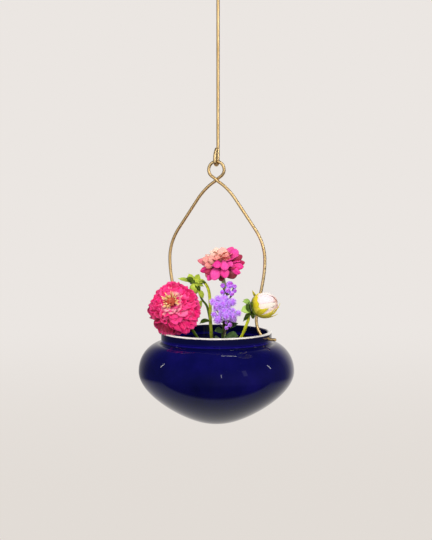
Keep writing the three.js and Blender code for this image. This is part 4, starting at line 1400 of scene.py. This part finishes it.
def floor():
    """A pale floor that passes into the background; the glaze mirrors its front part dim."""
    look, shader = material(
        "floor_pale", Base_Color=srgb(222, 216, 210), Roughness=0.9, Specular_IOR_Level=0.1,
    )
    place = own_place(look)
    far = length_of(look, place)
    tone = ramp(look, spread(look, far, 2.0, 7.0), (0.0, PALE_LOW), (1.0, PALE))
    glow = node(look, "Emission", {"Color": tone, "Strength": 1.0})
    front = dot(look, place, VIEWER)
    back = ramp(
        look, spread(look, front, 0.3, -2.0),
        (0.0, srgb(50, 46, 76)), (0.02, srgb(160, 163, 168)), (0.4, srgb(202, 200, 200)), (1.0, PALE),
    )
    way = node(look, "VectorMath", {0: place}, operation="NORMALIZE").outputs["Vector"]
    back = mix(look, spread(look, far, 0.9, 3.6), back, wall_tones(look, way))
    mirrored = node(look, "Emission", {"Color": back, "Strength": 1.0})
    path = node(look, "LightPath")
    fade = times(look, spread(look, far, 0.4, 1.5), path.outputs["Is Camera Ray"])
    both = node(look, "MixShader", {0: fade, 1: shader.outputs[0], 2: glow.outputs[0]})
    gloss = path.outputs["Is Glossy Ray"]
    last = node(look, "MixShader", {0: gloss, 1: both.outputs[0], 2: mirrored.outputs[0]})
    look.node_tree.links.new(last.outputs[0], look.node_tree.nodes["Material Output"].inputs["Surface"])
    shape = Shape()
    turns, radii = ring(64), (0.01, 0.5, 2.0, 8.0, 60.0)
    rows = [[polar(r, t) for t in turns] for r in radii]
    first, _, width = shape.grid(rows, wrap=True)
    shape.cap(first, width)
    made = added("floor", shape.mesh("floor"))
    made.data.materials.append(look)
    made.location = (0, 0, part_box("bowl")[0].z - FLOOR_DROP)


def softbox(name, place, target, size, power, along, mirrored=True, only=None):
    """A flat lamp that shines from place to target, its length turned to along, on all or some pieces."""
    data = bpy.data.lights.new(name, "AREA")
    data.shape = "RECTANGLE"
    data.size, data.size_y = size
    data.energy = power
    data.color = (1.0, 0.98, 0.95)
    back = (place - target).normalized()
    side = (along - back * along.dot(back)).normalized()
    turned = Matrix((side, back.cross(side), back)).transposed().to_4x4()
    made = added(name, data)
    made.matrix_world = Matrix.Translation(place) @ turned
    made.visible_glossy = mirrored
    made.light_linking.receiver_collection = only


def group(name, *pieces):
    """A collection of finished pieces, for a lamp that shines on nothing else."""
    made = bpy.data.collections.new(name)
    for piece in pieces:
        made.objects.link(bpy.data.objects[piece])
    return made


def lights():
    middle = UP * RIM_Z
    wires = group("brass_pieces", "rod_brass", "bail_brass")
    stems = group(
        "stems_and_heads", "bud_stalk", "green_bud_closed", "bud_bracts", "dahlia_stalk", "floss_top_heads",
        "floss_open_heads", "floss_low_heads",
    )

    def at(across, front, height):
        return middle + ACROSS * across + VIEWER * front + UP * height

    softbox("key", at(0.6, 1.3, 1.5), middle, (1.2, 1.2), 27, ACROSS, mirrored=False)
    softbox("fill", at(-1.3, 1.2, 0.4), middle, (1.0, 1.4), 8, ACROSS, mirrored=False)
    softbox("brass_key", at(0.85, 1.15, 0.7), middle, (2.6, 0.6), 24.0, UP, only=wires)
    softbox("brass_fill", at(-0.8, 1.3, 0.5), middle, (2.4, 2.0), 21.0, UP, only=wires)
    softbox("stem_fill", at(-0.3, 1.4, 0.3), middle, (0.8, 0.8), 10.5, UP, mirrored=False, only=stems)
    softbox("top_strip", at(0.39, -0.2, 1.45), middle, (0.6, 0.03), 0.8, ACROSS)
    softbox("left_strip", at(-1.2, -0.05, 0.52), middle, (0.26, 0.025), 0.26, UP)
    softbox("right_strip", at(1.2, 0.05, 0.47), middle, (0.26, 0.025), 0.22, UP)
    softbox("front_strip", at(0.18, 1.5, 0.36), middle, (0.3, 0.03), 0.15, UP)
    softbox("side_panel", at(1.0, 1.1, 0.5), middle, (0.5, 0.16), 0.1, UP)


bpy.context.scene.view_settings.view_transform = "Standard"
camera()
hanger_rod()
bail_wire()
bowl()
potting_mix()
zinnia()
top_bloom()
nodding_bud()
dahlia_bud()
floss_flower()
room()
floor()
lights()

bpy.context.view_layer.update()
